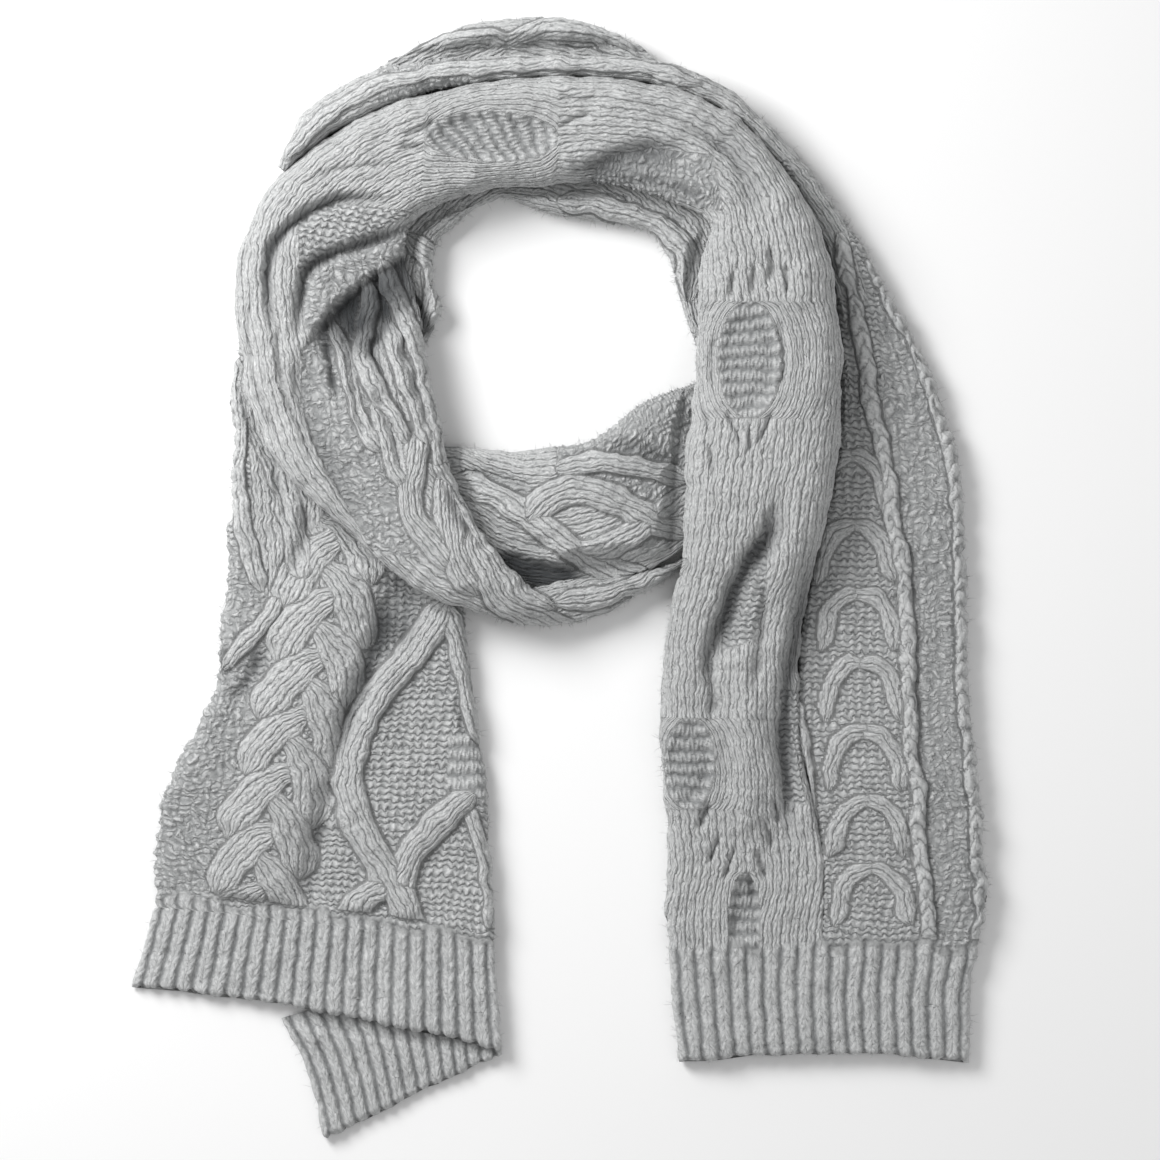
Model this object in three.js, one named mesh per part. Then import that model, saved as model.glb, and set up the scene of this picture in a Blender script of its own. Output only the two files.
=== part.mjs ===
// A cable-knit scarf laid flat on a table, wound once and a half round an open neck loop with both
// tails hanging down. One long strip runs clockwise: left hem, left tail, behind the neck, down the
// right side, across the front, up the left side over itself, over the top and down the right tail.
// The strip is folded lengthwise, so each stretch is one rounded solid that is flat underneath and
// shows its layers at its open edges. Heights are in millimetres above the table, +Z up, and +Y
// runs from the hems to the neck loop. The origin is the middle of the lay-out, on the table.

import * as THREE from "three";

// Driving dimensions, in millimetres.
const LAID_LENGTH = 562; // lowest hem corner to the top of the neck loop
const SEAM_GAP = 0.6; // between two stretches of the strip
const RIB_PITCH = 8.2; // one ridge and one furrow of the hem ribbing
const RIB_RISE = 2.2; // ridge over furrow
const PRESSED = 13.2; // height of a lower stretch where an upper one lies on it
const PRESS_SLOPE = 1.5; // how fast a lower stretch rises again beside an upper one
const PRESS_MARGIN = 6.5;
const EDGE_SHARE = 0.42; // height of a stretch's widest line, as a share of its thickness
const LEAST_CLOTH = 1.5; // cloth left above the widest line under the deepest fold
const HEM_ROUND = 4; // rounding of a hem's end
const EDGE_CROWDING = 0.5; // 0 spaces a section's points evenly, 1 crowds them to its edges

// The plan is laid out on a grid of half millimetres, counted from the left and down from the top.
const PLAN_LENGTH = 1124;
const PLAN_UNIT = LAID_LENGTH / PLAN_LENGTH;
const PLAN_CENTRE = { x: 559.1, y: 578.2 };

const SECTION_COLUMNS = [
  "ax", "ay", // inner edge, on the plan
  "bx", "by", // outer edge, on the plan
  "liftA", "liftB", // underside over the table at each edge, mm
  "highA", "highB", // thickness at each edge, mm
  "roundA", "roundB", // width of the rounding at each edge, mm
  "bow", // how far the section's middle runs ahead of its ends, mm
];

const FOLD_COLUMNS = [
  "x1", "y1", "x2", "y2", "x3", "y3", // start, middle and end, on the plan
  "depth", // mm, at the middle
  "near", "far", // width to the left and to the right of its direction, mm
];

const STRAND_COLUMNS = [
  "x1", "y1", "x2", "y2", "x3", "y3",
  "half", // half the strand's width, mm
  "rise", // mm above the ground
];

// Turns rows of bare numbers into records with the columns' names.
function table(columns, rows) {
  return rows.map((row) => Object.fromEntries(columns.map((name, i) => [name, row[i]])));
}

// The left tail: hem first, then up to where the neck loop covers it.
const LEFT_HEM = table(SECTION_COLUMNS, [
  [500, 1051, 131, 986, 5.6, 0, 6, 6, 5, 5, 3.5],
  [497, 1004, 140, 955, 5.6, 0, 6, 6, 5, 5, 2],
  [494, 950, 153, 908, 5.6, 0, 6.5, 6.5, 5, 5, 2],
]);

const LEFT_TAIL = table(SECTION_COLUMNS, [
  [494, 950, 153, 908, 5.6, 0, 6.5, 6.5, 5, 5, 2],
  [492, 900, 151, 868, 2.5, 0, 9, 8, 6, 6, 0],
  [489, 840, 157, 822, 0, 0, 12, 10, 6, 8, 0],
  [486, 785, 168, 783, 0, 0, 12, 12, 6, 9, 0],
  [478, 735, 188, 742, 0, 0, 12, 13, 6, 10, 0],
  [473, 690, 212, 701, 0, 0, 12, 14, 6, 9, 0],
  [468, 650, 220, 655, 0, 0, 12, 14, 6, 7, 0],
  [463, 606, 223, 605, 0, 0, 12, 14, 6, 7, 0],
  [455, 555, 227, 555, 0, 0, 12, 14, 6, 7, 0],
  [440, 500, 231, 500, 0, 0, 12, 14, 6, 7, 0],
  [425, 440, 233, 445, 0, 0, 12, 14, 6, 7, 0],
  [418, 390, 229, 395, 0, 0, 12, 14, 6, 7, 0],
  [424, 345, 238, 345, 0, 0, 13, 14, 6, 7, 0],
]);

// The layer that is folded under the left hem and shows its corner below it.
const LEFT_UNDER_HEM = table(SECTION_COLUMNS, [
  [500, 1056, 325, 1140, 0, 0, 5.2, 5.2, 3, 4, 1],
  [496, 1010, 306, 1072, 0, 0, 5.2, 5.2, 3, 4, 0],
  [490, 965, 280, 1020, 0, 0, 5.2, 5.2, 3, 4, 0],
]);

// Behind the neck, under the upper wrap.
const NECK_BACK = table(SECTION_COLUMNS, [
  [424, 345, 238, 345, 0, 0, 13, 14, 6, 7, 0],
  [441, 306, 244, 290, 0, 0, 17, 14, 7, 7, 0],
  [431, 275, 253, 240, 0, 0, 17, 14, 7, 7, 0],
  [437, 240, 273, 195, 0, 0, 16, 14, 7, 7, 0],
  [463, 217, 322, 118, 0, 0, 16, 14, 7, 7, 0],
  [498, 196, 396, 56, 0, 0, 16, 18, 7, 10, 0],
  [526, 203, 470, 25, 0, 0, 17, 22, 8, 13, 0],
  [558, 214, 550, 17, 0, 0, 18, 23, 9, 14, 0],
  [604, 221, 618, 33, 0, 0, 18, 21, 9, 12, 0],
  [650, 231, 690, 88, 0, 0, 18, 14, 9, 7, 0],
  [671, 256, 768, 152, 0, 0, 17, 14, 8, 7, 0],
  [678, 290, 815, 240, 0, 0, 16, 14, 7, 7, 0],
  [690, 328, 832, 310, 0, 0, 15, 14, 7, 7, 0],
]);

// Down the right side, under the upper wrap, and across the front to the left.
const NECK_FRONT = table(SECTION_COLUMNS, [
  [690, 328, 832, 310, 0, 0, 15, 14, 7, 7, 0],
  [703, 362, 832, 378, 0, 0, 15, 14, 7, 7, 0],
  [700, 378, 822, 448, 0, 0, 15, 14, 7, 7, 0],
  [686, 386, 780, 496, 0, 0, 16, 14, 7, 7, 0],
  [660, 395, 705, 536, 0, 0, 20, 16, 14, 9, 0],
  [632, 412, 655, 562, 0, 0, 24, 22, 18, 12, 0],
  [592, 440, 600, 571, 0, 0, 25, 25, 18, 13, 0],
  [545, 449, 552, 569, 0, 0, 24, 24, 17, 13, 0],
  [500, 451, 512, 556, 0, 0, 21, 20, 14, 12, 0],
  [458, 446, 482, 545, 0, 0, 16, 14, 9, 9, 0],
  [432, 446, 452, 535, 0, 0, 13, 13, 7, 7, 0],
]);

// The upper wrap: from the right end of the front roll, to the left and up the left side.
const WRAP_LEFT = table(SECTION_COLUMNS, [
  [688, 554, 690, 563, 0, 0, 7, 7, 3, 3, 0],
  [652, 569, 656, 585, 0, 0, 13, 13, 6, 6, 0],
  [602, 575, 608, 611, 0, 0, 17, 17, 9, 9, 0],
  [562, 582, 562, 624, 2, 2, 20, 20, 11, 11, 0],
  [533, 586, 515, 624, 7, 5, 22, 22, 12, 12, 0],
  [508, 566, 468, 608, 13, 12.5, 21, 21, 12, 13, 0],
  [486, 540, 418, 590, 14, 14, 20, 23, 13, 17, 0],
  [466, 508, 372, 552, 14, 14, 18, 24, 14, 21, 0],
  [453, 474, 318, 503, 14, 14, 17, 25, 15, 24, 0],
  [443, 436, 276, 458, 14, 14, 16, 26, 15, 26, 0],
  [435, 398, 252, 402, 14, 14, 15, 26, 14, 27, 0],
  [427, 362, 244, 355, 14, 14, 14, 27, 13, 27, 0],
  [421, 322, 236, 308, 14, 14, 14, 27, 12, 27, 0],
  [413, 285, 238, 266, 14, 14, 14, 27, 12, 26, 0],
]);

// Over the top of the neck loop, from left to right. Its outer edge is a crease from here on.
const WRAP_TOP = table(SECTION_COLUMNS, [
  [413, 285, 238, 266, 14, 14, 14, 27, 12, 26, 0],
  [404, 258, 248, 231, 14, 14, 16, 27, 12, 24, 0],
  [408, 232, 263, 200, 14, 14, 19, 27, 12, 22, 0],
  [427, 212, 288, 172, 14, 14, 22, 26, 13, 19, 0],
  [456, 199, 338, 132, 14, 14, 24, 26, 14, 15, 0],
  [492, 190, 402, 102, 14, 14, 25, 26, 15, 13, 0],
  [530, 187, 480, 85, 14, 14, 25, 27, 16, 13, 0],
  [572, 184, 560, 78, 14, 14, 24, 27, 16, 13, 0],
  [616, 186, 630, 82, 14, 14, 21, 28, 15, 13, 0],
  [662, 198, 690, 96, 14, 14, 20, 29, 14, 14, 0],
  [702, 214, 738, 120, 14, 14, 21, 30, 13, 16, 0],
]);

// Down the right side, over the lower stretch.
const WRAP_RIGHT = table(SECTION_COLUMNS, [
  [702, 214, 738, 120, 14, 14, 21, 30, 13, 16, 0],
  [713, 230, 777, 163, 14, 14, 24, 30, 14, 18, 0],
  [704, 254, 807, 206, 14, 14, 26, 30, 17, 20, 0],
  [698, 287, 828, 258, 14, 14, 27, 30, 20, 22, 0],
  [697, 340, 839, 326, 14, 14, 27, 30, 22, 24, 0],
  [694, 396, 841, 396, 14, 14, 27, 30, 22, 24, 0],
  [687, 450, 838, 450, 14, 14, 27, 29, 22, 23, 0],
  [684, 508, 826, 510, 14, 14, 27, 28, 21, 20, 0],
  [682, 562, 813, 570, 13.6, 9, 23, 26, 19, 17, 0],
]);

// The inner half of the right tail, down to the ribbing.
const RIGHT_TAIL = table(SECTION_COLUMNS, [
  [682, 562, 813, 570, 13.6, 9, 23, 26, 19, 17, 0],
  [669, 620, 802, 624, 2, 2, 27, 25, 17, 14, 0],
  [662, 680, 797, 684, 0, 0, 23, 22, 15, 11, 0],
  [661, 740, 798, 740, 0, 0, 19, 19, 12, 8, 0],
  [666, 800, 811, 800, 0, 0, 15, 15, 9, 5, 0],
  [668, 850, 820, 850, 0, 0, 12, 12, 7, 3, 0],
  [667, 900, 822, 900, 0, 0, 11, 11, 6, 2, 0],
  [670, 957, 821, 957, 0, 0, 10.5, 10.5, 6, 2, 0],
]);

// The outer roll that runs beside the upper wrap, from its start on the left over the top.
const EDGE_TOP = table(SECTION_COLUMNS, [
  [286, 173, 279, 167, 14, 14, 17, 16, 2, 2, 0],
  [306, 155, 293, 133, 14, 14, 22, 19, 4, 5, 0],
  [338, 132, 320, 101, 14, 14, 23, 20, 6, 10, 0],
  [402, 102, 388, 68, 14, 14, 22, 20, 6, 11, 0],
  [480, 84.5, 479, 59, 14, 14, 21, 19, 6, 9, 0],
  [560, 78, 564, 56, 14, 14, 21, 19, 5, 8, 0],
  [630, 82, 645, 61, 14, 14, 21, 19, 5, 8, 0],
  [690, 96, 704, 76, 14, 14, 18, 17, 5, 8, 0],
  [738, 120, 755, 112, 12, 11, 17, 16, 5, 8, 0],
  [777, 163, 799, 157, 9, 7, 16, 15, 5, 8, 0],
]);

// The outer half of the right tail, which lies flat with its selvedge outside.
const EDGE_RIGHT = table(SECTION_COLUMNS, [
  [777, 163, 799, 157, 9, 7, 16, 15, 5, 8, 0],
  [807, 206, 843, 214, 5, 3, 13, 14, 5, 7, 0],
  [828, 258, 878, 272, 0, 0, 12, 14, 4, 6, 0],
  [839, 326, 915, 338, 0, 0, 10, 12, 4, 6, 0],
  [841, 396, 941, 400, 0, 0, 9, 11, 4, 6, 0],
  [838, 450, 956, 450, 0, 0, 9, 11, 4, 5, 0],
  [826, 510, 964, 510, 0, 0, 10, 11, 4, 5, 0],
  [813, 570, 967, 570, 0, 0, 10, 11, 4, 5, 0],
]);

const RIGHT_TAIL_EDGE = table(SECTION_COLUMNS, [
  [813, 570, 967, 570, 0, 0, 10, 11, 4, 5, 0],
  [802, 624, 967, 625, 0, 0, 10, 11, 4, 5, 0],
  [797, 684, 970, 684, 0, 0, 10, 11, 4, 5, 0],
  [798, 740, 974, 740, 0, 0, 10, 11, 3, 5, 0],
  [811, 800, 980, 800, 0, 0, 10.5, 11, 3, 5, 0],
  [820, 850, 984, 850, 0, 0, 10.5, 11, 3, 5, 0],
  [822, 900, 987, 900, 0, 0, 10.5, 11, 2, 5, 0],
  [821, 957, 982, 957, 0, 0, 10.5, 10.5, 2, 5, 0],
]);

const RIGHT_HEM = table(SECTION_COLUMNS, [
  [670, 957, 974, 957, 0, 0, 10, 10, 5, 5, 1],
  [673, 990, 970, 990, 0, 0, 10, 10, 5, 5, 0],
  [676, 1026, 970, 1024, 0, 0, 10, 10, 5, 5, 0],
  [680, 1064, 970, 1062, 0, 0, 9.5, 9.5, 5, 5, -4.5],
]);

// Folds of the upper wrap. Where one width is much the larger, the fold is a step down to that side.
const WRAP_FOLDS = table(FOLD_COLUMNS, [
  [384, 202, 296, 226, 274, 330, 8, 7, 6],
  [440, 222, 366, 272, 306, 350, 8, 26, 6],
  [304, 335, 300, 395, 316, 462, 5, 12, 5],
  [396, 292, 404, 350, 430, 436, 3, 5, 5],
  [345, 318, 366, 372, 398, 428, 4, 5, 5],
  [560, 184, 622, 152, 706, 158, 7, 5, 15],
  [664, 150, 740, 174, 746, 236, 3, 12, 6],
  [770, 512, 738, 572, 714, 640, 15, 9, 7],
  [722, 612, 706, 650, 702, 690, 9, 8, 7],
  [812, 560, 784, 690, 786, 815, 8, 6, 4],
]);

// Folds of the lower stretches.
const LOWER_FOLDS = table(FOLD_COLUMNS, [
  [396, 276, 414, 306, 424, 340, 11, 6, 5],
  [398, 606, 362, 672, 338, 742, 7, 7, 6],
  [340, 735, 324, 810, 306, 930, 5, 7, 6],
  [304, 500, 300, 540, 284, 600, 5, 6, 6],
  [266, 640, 240, 690, 216, 704, 4, 7, 6],
  [262, 430, 276, 500, 292, 560, 4, 6, 6],
  [600, 450, 650, 462, 700, 482, 5, 6, 6],
  [636, 552, 662, 540, 700, 536, 4, 5, 6],
  [470, 500, 520, 540, 560, 545, 3, 5, 5],
  [556, 48, 606, 52, 650, 62, 8, 6, 5],
]);

// Cable strands of the lower stretches: the lattice on the left tail and the rope on the front.
const LATTICE = table(STRAND_COLUMNS, [
  [446, 618, 410, 672, 362, 755, 8, 3.5],
  [362, 755, 348, 800, 366, 862, 8, 3.5],
  [366, 862, 398, 892, 402, 940, 8, 3.5],
  [468, 806, 436, 842, 398, 884, 8, 3.5],
  [388, 884, 358, 902, 344, 940, 8, 3.5],
]);

// Where knit ovals open in the upper wrap: centre and half sizes on the plan, and the tilt.
const OVALS = table(
  ["x", "y", "halfX", "halfY", "tilt"],
  [
    [490, 140, 68, 24, -4],
    [748, 362, 32, 56, 0],
    [692, 768, 30, 46, 0],
    [745, 930, 15, 60, 0],
  ],
);
const OVAL_DEPTH = 1.8;
const OVAL_RIM = 0.3; // the share of an oval's half size over which it deepens

const clamp01 = (v) => Math.min(1, Math.max(0, v));
const mix = (a, b, t) => a + (b - a) * t;
const smooth = (v) => clamp01(v) ** 2 * (3 - 2 * clamp01(v));

// A point of the plan grid, in millimetres in the part's frame.
function planPoint(x, y) {
  return new THREE.Vector2((x - PLAN_CENTRE.x) * PLAN_UNIT, (PLAN_CENTRE.y - y) * PLAN_UNIT);
}

// Points along the smooth curve through a row's start, middle and end.
function curvePoints(row, steps = 12) {
  const [start, middle, end] = [
    planPoint(row.x1, row.y1),
    planPoint(row.x2, row.y2),
    planPoint(row.x3, row.y3),
  ];
  const control = middle.clone().multiplyScalar(2).sub(start.clone().add(end).multiplyScalar(0.5));
  return new THREE.QuadraticBezierCurve(start, control, end).getPoints(steps);
}

// The nearest place on a polyline: distance, side (positive on the left) and share of its length.
function nearest(points, x, y) {
  let best = { distance: Infinity, side: 1, share: 0 };
  for (let i = 0; i + 1 < points.length; i++) {
    const [p, q] = [points[i], points[i + 1]];
    const [dx, dy] = [q.x - p.x, q.y - p.y];
    const along = clamp01(((x - p.x) * dx + (y - p.y) * dy) / (dx * dx + dy * dy));
    const distance = Math.hypot(x - p.x - along * dx, y - p.y - along * dy);
    if (distance < best.distance) {
      const side = dx * (y - p.y) - dy * (x - p.x) < 0 ? -1 : 1;
      best = { distance, side, share: (i + along) / (points.length - 1) };
    }
  }
  return best;
}

// The share of a fold's length over which it fades out at each end.
const FOLD_FADE = 0.3;

// How much a fold lowers the cloth: a bell across it, fading out towards its two ends.
function foldDepth(fold, x, y) {
  const found = nearest(fold.points, x, y);
  const width = found.side > 0 ? fold.near : fold.far;
  const fade = smooth(found.share / FOLD_FADE) * smooth((1 - found.share) / FOLD_FADE);
  return fold.depth * fade * Math.exp(-((found.distance / width) ** 2));
}

// How much a strand raises the cloth: one hump of a cosine across it, with round ends.
function strandRise(strand, x, y) {
  const { distance } = nearest(strand.points, x, y);
  if (distance >= strand.half) return 0;
  return (strand.rise / 2) * (1 + Math.cos((Math.PI * distance) / strand.half));
}

// How much an oval opening lowers the cloth, fading at its rim.
function ovalDepth(oval, x, y) {
  const centre = planPoint(oval.x, oval.y);
  const turn = THREE.MathUtils.degToRad(oval.tilt);
  const [dx, dy] = [x - centre.x, y - centre.y];
  const across = (dx * Math.cos(turn) - dy * Math.sin(turn)) / (oval.halfX * PLAN_UNIT);
  const down = (dx * Math.sin(turn) + dy * Math.cos(turn)) / (oval.halfY * PLAN_UNIT);
  return OVAL_DEPTH * smooth((1 - Math.hypot(across, down)) / OVAL_RIM);
}

const withPoints = (rows) => rows.map((row) => ({ ...row, points: curvePoints(row) }));

// Strands that leave an axis to both sides in turn and sweep back, like the grains on a wheat ear.
function wheatStrands({ axis, pitch, reach, sweep, half, rise }) {
  const line = curvePoints(axis, 40);
  const length = line.slice(1).reduce((sum, p, i) => sum + p.distanceTo(line[i]), 0);
  const strands = [];
  for (let at = 0, side = 1; at + sweep < length; at += pitch / 2, side = -side) {
    const place = (along, out) => {
      const share = clamp01(along / length) * (line.length - 1);
      const i = Math.min(line.length - 2, Math.floor(share));
      const step = line[i + 1].clone().sub(line[i]).normalize();
      const point = line[i].clone().lerp(line[i + 1], share - i);
      return point.add(new THREE.Vector2(-step.y, step.x).multiplyScalar(side * out));
    };
    const control = place(at + 0.1 * sweep, 0.9 * reach);
    const curve = new THREE.QuadraticBezierCurve(place(at, 0), control, place(at + sweep, reach));
    strands.push({ points: curve.getPoints(10), half, rise });
  }
  return strands;
}

// The big plaited cable down the left tail.
const WHEAT = wheatStrands({
  axis: { x1: 345, y1: 545, x2: 300, y2: 700, x3: 236, y3: 935 },
  pitch: 30, reach: 22, sweep: 34, half: 9.5, rise: 4.5,
});

// The arches on the outer half of the right tail: pairs of legs that part from a crown.
const ARCHES = {
  firstY: 452, lastY: 910, pitch: 69, crownX: 852, lean: 0.05,
  spread: 36, drop: 44, half: 6, rise: 2.8,
};

function archStrands() {
  const strands = [];
  for (let y = ARCHES.firstY; y < ARCHES.lastY; y += ARCHES.pitch) {
    for (const side of [-1, 1]) {
      const x = ARCHES.crownX + ARCHES.lean * (y - ARCHES.firstY);
      strands.push({
        x1: x, y1: y,
        x2: x + side * ARCHES.spread * 0.7, y2: y + ARCHES.drop * 0.3,
        x3: x + side * ARCHES.spread, y3: y + ARCHES.drop,
        half: ARCHES.half, rise: ARCHES.rise,
      });
    }
  }
  return strands;
}

// A rope of two strands that cross each half pitch along an axis.
function ropeStrands({ axis, turns, swing, half, rise }) {
  const line = curvePoints(axis, turns * 2);
  const strands = [];
  for (let i = 0; i + 1 < line.length; i++) {
    const step = line[i + 1].clone().sub(line[i]);
    const out = new THREE.Vector2(-step.y, step.x).normalize().multiplyScalar(swing);
    const middle = line[i].clone().addScaledVector(step, 0.5);
    strands.push({ points: [line[i].clone().add(out), middle, line[i + 1].clone().sub(out)], half, rise });
  }
  return strands;
}

const FRONT_ROPE = ropeStrands({
  axis: { x1: 450, y1: 500, x2: 570, y2: 528, x3: 700, y3: 520 },
  turns: 3, swing: 9, half: 9, rise: 3.5,
});
const LEFT_ROPE = ropeStrands({
  axis: { x1: 402, y1: 400, x2: 440, y2: 520, x3: 560, y3: 606 },
  turns: 4, swing: 6, half: 7, rise: 3,
});

// Long straight cables on the outer half: the rope column and the selvedge chain.
const EDGE_COLUMNS = table(STRAND_COLUMNS, [
  [872, 400, 890, 500, 904, 640, 6, 2.5],
  [904, 640, 902, 780, 926, 955, 6, 2.5],
]);

const LOWER = {
  folds: withPoints(LOWER_FOLDS),
  strands: [...withPoints(LATTICE), ...WHEAT, ...FRONT_ROPE],
  ovals: [],
};
const UPPER = { folds: withPoints(WRAP_FOLDS), strands: LEFT_ROPE, ovals: OVALS };
const OUTER = { folds: [], strands: withPoints([...archStrands(), ...EDGE_COLUMNS]), ovals: [] };
const PLAIN = { folds: [], strands: [], ovals: [] };

// The height that folds, strands and ovals add at a place.
function relief(pattern, x, y) {
  const folds = pattern.folds.reduce((sum, fold) => sum + foldDepth(fold, x, y), 0);
  const ovals = pattern.ovals.reduce((sum, oval) => sum + ovalDepth(oval, x, y), 0);
  const strands = pattern.strands.reduce((most, strand) => Math.max(most, strandRise(strand, x, y)), 0);
  return strands - folds - ovals;
}

// The section at a place between two rows, on the cubic curve through the rows.
function sectionAt(rows, place) {
  const i = Math.min(rows.length - 2, Math.floor(place));
  const t = place - i;
  const [before, after] = [Math.max(0, i - 1), Math.min(rows.length - 1, i + 2)];
  const found = {};
  for (const name of SECTION_COLUMNS) {
    const [p0, p1, p2, p3] = [before, i, i + 1, after].map((k) => rows[k][name]);
    const m1 = (p2 - p0) / (i - before + 1);
    const m2 = (p3 - p1) / (after - i);
    found[name] =
      (2 * t ** 3 - 3 * t ** 2 + 1) * p1 +
      (t ** 3 - 2 * t ** 2 + t) * m1 +
      (3 * t ** 2 - 2 * t ** 3) * p2 +
      (t ** 3 - t ** 2) * m2;
  }
  found.a = planPoint(found.ax, found.ay);
  found.b = planPoint(found.bx, found.by);
  return found;
}

// Places along the rows whose sections' middles are evenly spaced, set in from each end by a trim.
function evenPlaces(rows, spacing, trim) {
  const fine = 20 * (rows.length - 1);
  const middles = Array.from({ length: fine + 1 }, (_, k) => {
    const section = sectionAt(rows, (k / fine) * (rows.length - 1));
    return section.a.clone().add(section.b).multiplyScalar(0.5);
  });
  const lengths = [0];
  for (let k = 1; k <= fine; k++) lengths.push(lengths[k - 1] + middles[k].distanceTo(middles[k - 1]));
  const total = lengths[fine];
  const steps = Math.max(2, Math.round(total / spacing));
  return Array.from({ length: steps + 1 }, (_, n) => {
    const wanted = mix(trim, total - trim, n / steps);
    const k = Math.max(1, lengths.findIndex((length) => length >= wanted));
    const share = (wanted - lengths[k - 1]) / (lengths[k] - lengths[k - 1]);
    return { place: ((k - 1 + share) / fine) * (rows.length - 1), along: wanted, total };
  });
}

// A quarter circle that rises from 0 at an edge to 1 at the end of its rounding.
const arch = (share) => Math.sqrt(1 - (1 - clamp01(share)) ** 2);

// The outline of a stretch on the plan, for pressing down what lies under it.
function outline(rows) {
  const places = evenPlaces(rows, 8, 0).map(({ place }) => sectionAt(rows, place));
  return [...places.map((s) => s.a), ...places.reverse().map((s) => s.b)];
}

// Distance to the nearest of some outlines, 0 inside one.
function distanceOutside(outlines, x, y) {
  let best = Infinity;
  for (const points of outlines) {
    let inside = false;
    for (let i = 0, j = points.length - 1; i < points.length; j = i++) {
      const [p, q] = [points[i], points[j]];
      if (p.y > y !== q.y > y && x < ((q.x - p.x) * (y - p.y)) / (q.y - p.y) + p.x) inside = !inside;
    }
    if (inside) return 0;
    best = Math.min(best, nearest([...points, points[0]], x, y).distance);
  }
  return best;
}

const UPPER_OUTLINES = [WRAP_LEFT, WRAP_TOP, WRAP_RIGHT, EDGE_TOP, EDGE_RIGHT].map(outline);
const HEM_OUTLINE = [outline(LEFT_HEM)];

// Shapes of a stretch's side, from its widest line down to the table: how far in, in millimetres,
// and how high, as a share of the widest line's height. A folded side is one round bend. An open
// side shows the groove between the upper and the lower layer.
const FOLDED_SIDE = [{ inward: 0.6, up: 0.45 }, { inward: 2.6, up: 0 }];
const OPEN_SIDE = [
  { inward: 2.2, up: 0.82 },
  { inward: 0.3, up: 0.5 },
  { inward: 1.6, up: 0 },
];
const CUT_SIDE = [{ inward: 0, up: 0 }];

// The top of a stretch as rows of points, each row from the inner edge to the outer edge.
function topOf({ rows, pattern, spacing, columns, trim, ends, press, ribs }) {
  const stations = evenPlaces(rows, spacing, trim);
  return stations.map(({ place, along, total }, n) => {
    const section = sectionAt(rows, place);
    const next = sectionAt(rows, Math.min(rows.length - 1, place + 0.01));
    const last = sectionAt(rows, Math.max(0, place - 0.01));
    const travel = next.a.clone().add(next.b).sub(last.a).sub(last.b).normalize();
    const chord = section.b.clone().sub(section.a);
    chord.setLength(chord.length() - SEAM_GAP);
    section.a.addScaledVector(chord, SEAM_GAP / 2 / chord.length());
    const width = chord.length();
    const startRound = ends[0] === "hem" ? arch(along / HEM_ROUND) : 1;
    const endRound = ends[1] === "hem" ? arch((total - along) / HEM_ROUND) : 1;
    return Array.from({ length: columns + 1 }, (_, c) => {
      const even = c / columns;
      const t = ribs ? even : mix(even, (1 - Math.cos(Math.PI * even)) / 2, EDGE_CROWDING);
      const point = section.a.clone().addScaledVector(chord, t);
      point.addScaledVector(travel, section.bow * 4 * t * (1 - t));
      const lift = Math.max(0, mix(section.liftA, section.liftB, t));
      const high = mix(section.highA, section.highB, t);
      const sides = arch((t * width) / section.roundA) * arch(((1 - t) * width) / section.roundB);
      const ribRise = ribs ? (RIB_RISE / 2) * Math.cos(2 * Math.PI * ribs * t) : 0;
      const edge = EDGE_SHARE * high;
      const cloth = Math.max(LEAST_CLOTH, high - edge + relief(pattern, point.x, point.y) + ribRise);
      let z = lift + edge + cloth * sides * startRound * endRound;
      if (press) z = Math.min(z, press(point.x, point.y));
      return { point: new THREE.Vector3(point.x, point.y, z), lift, n, c };
    });
  });
}

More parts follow.
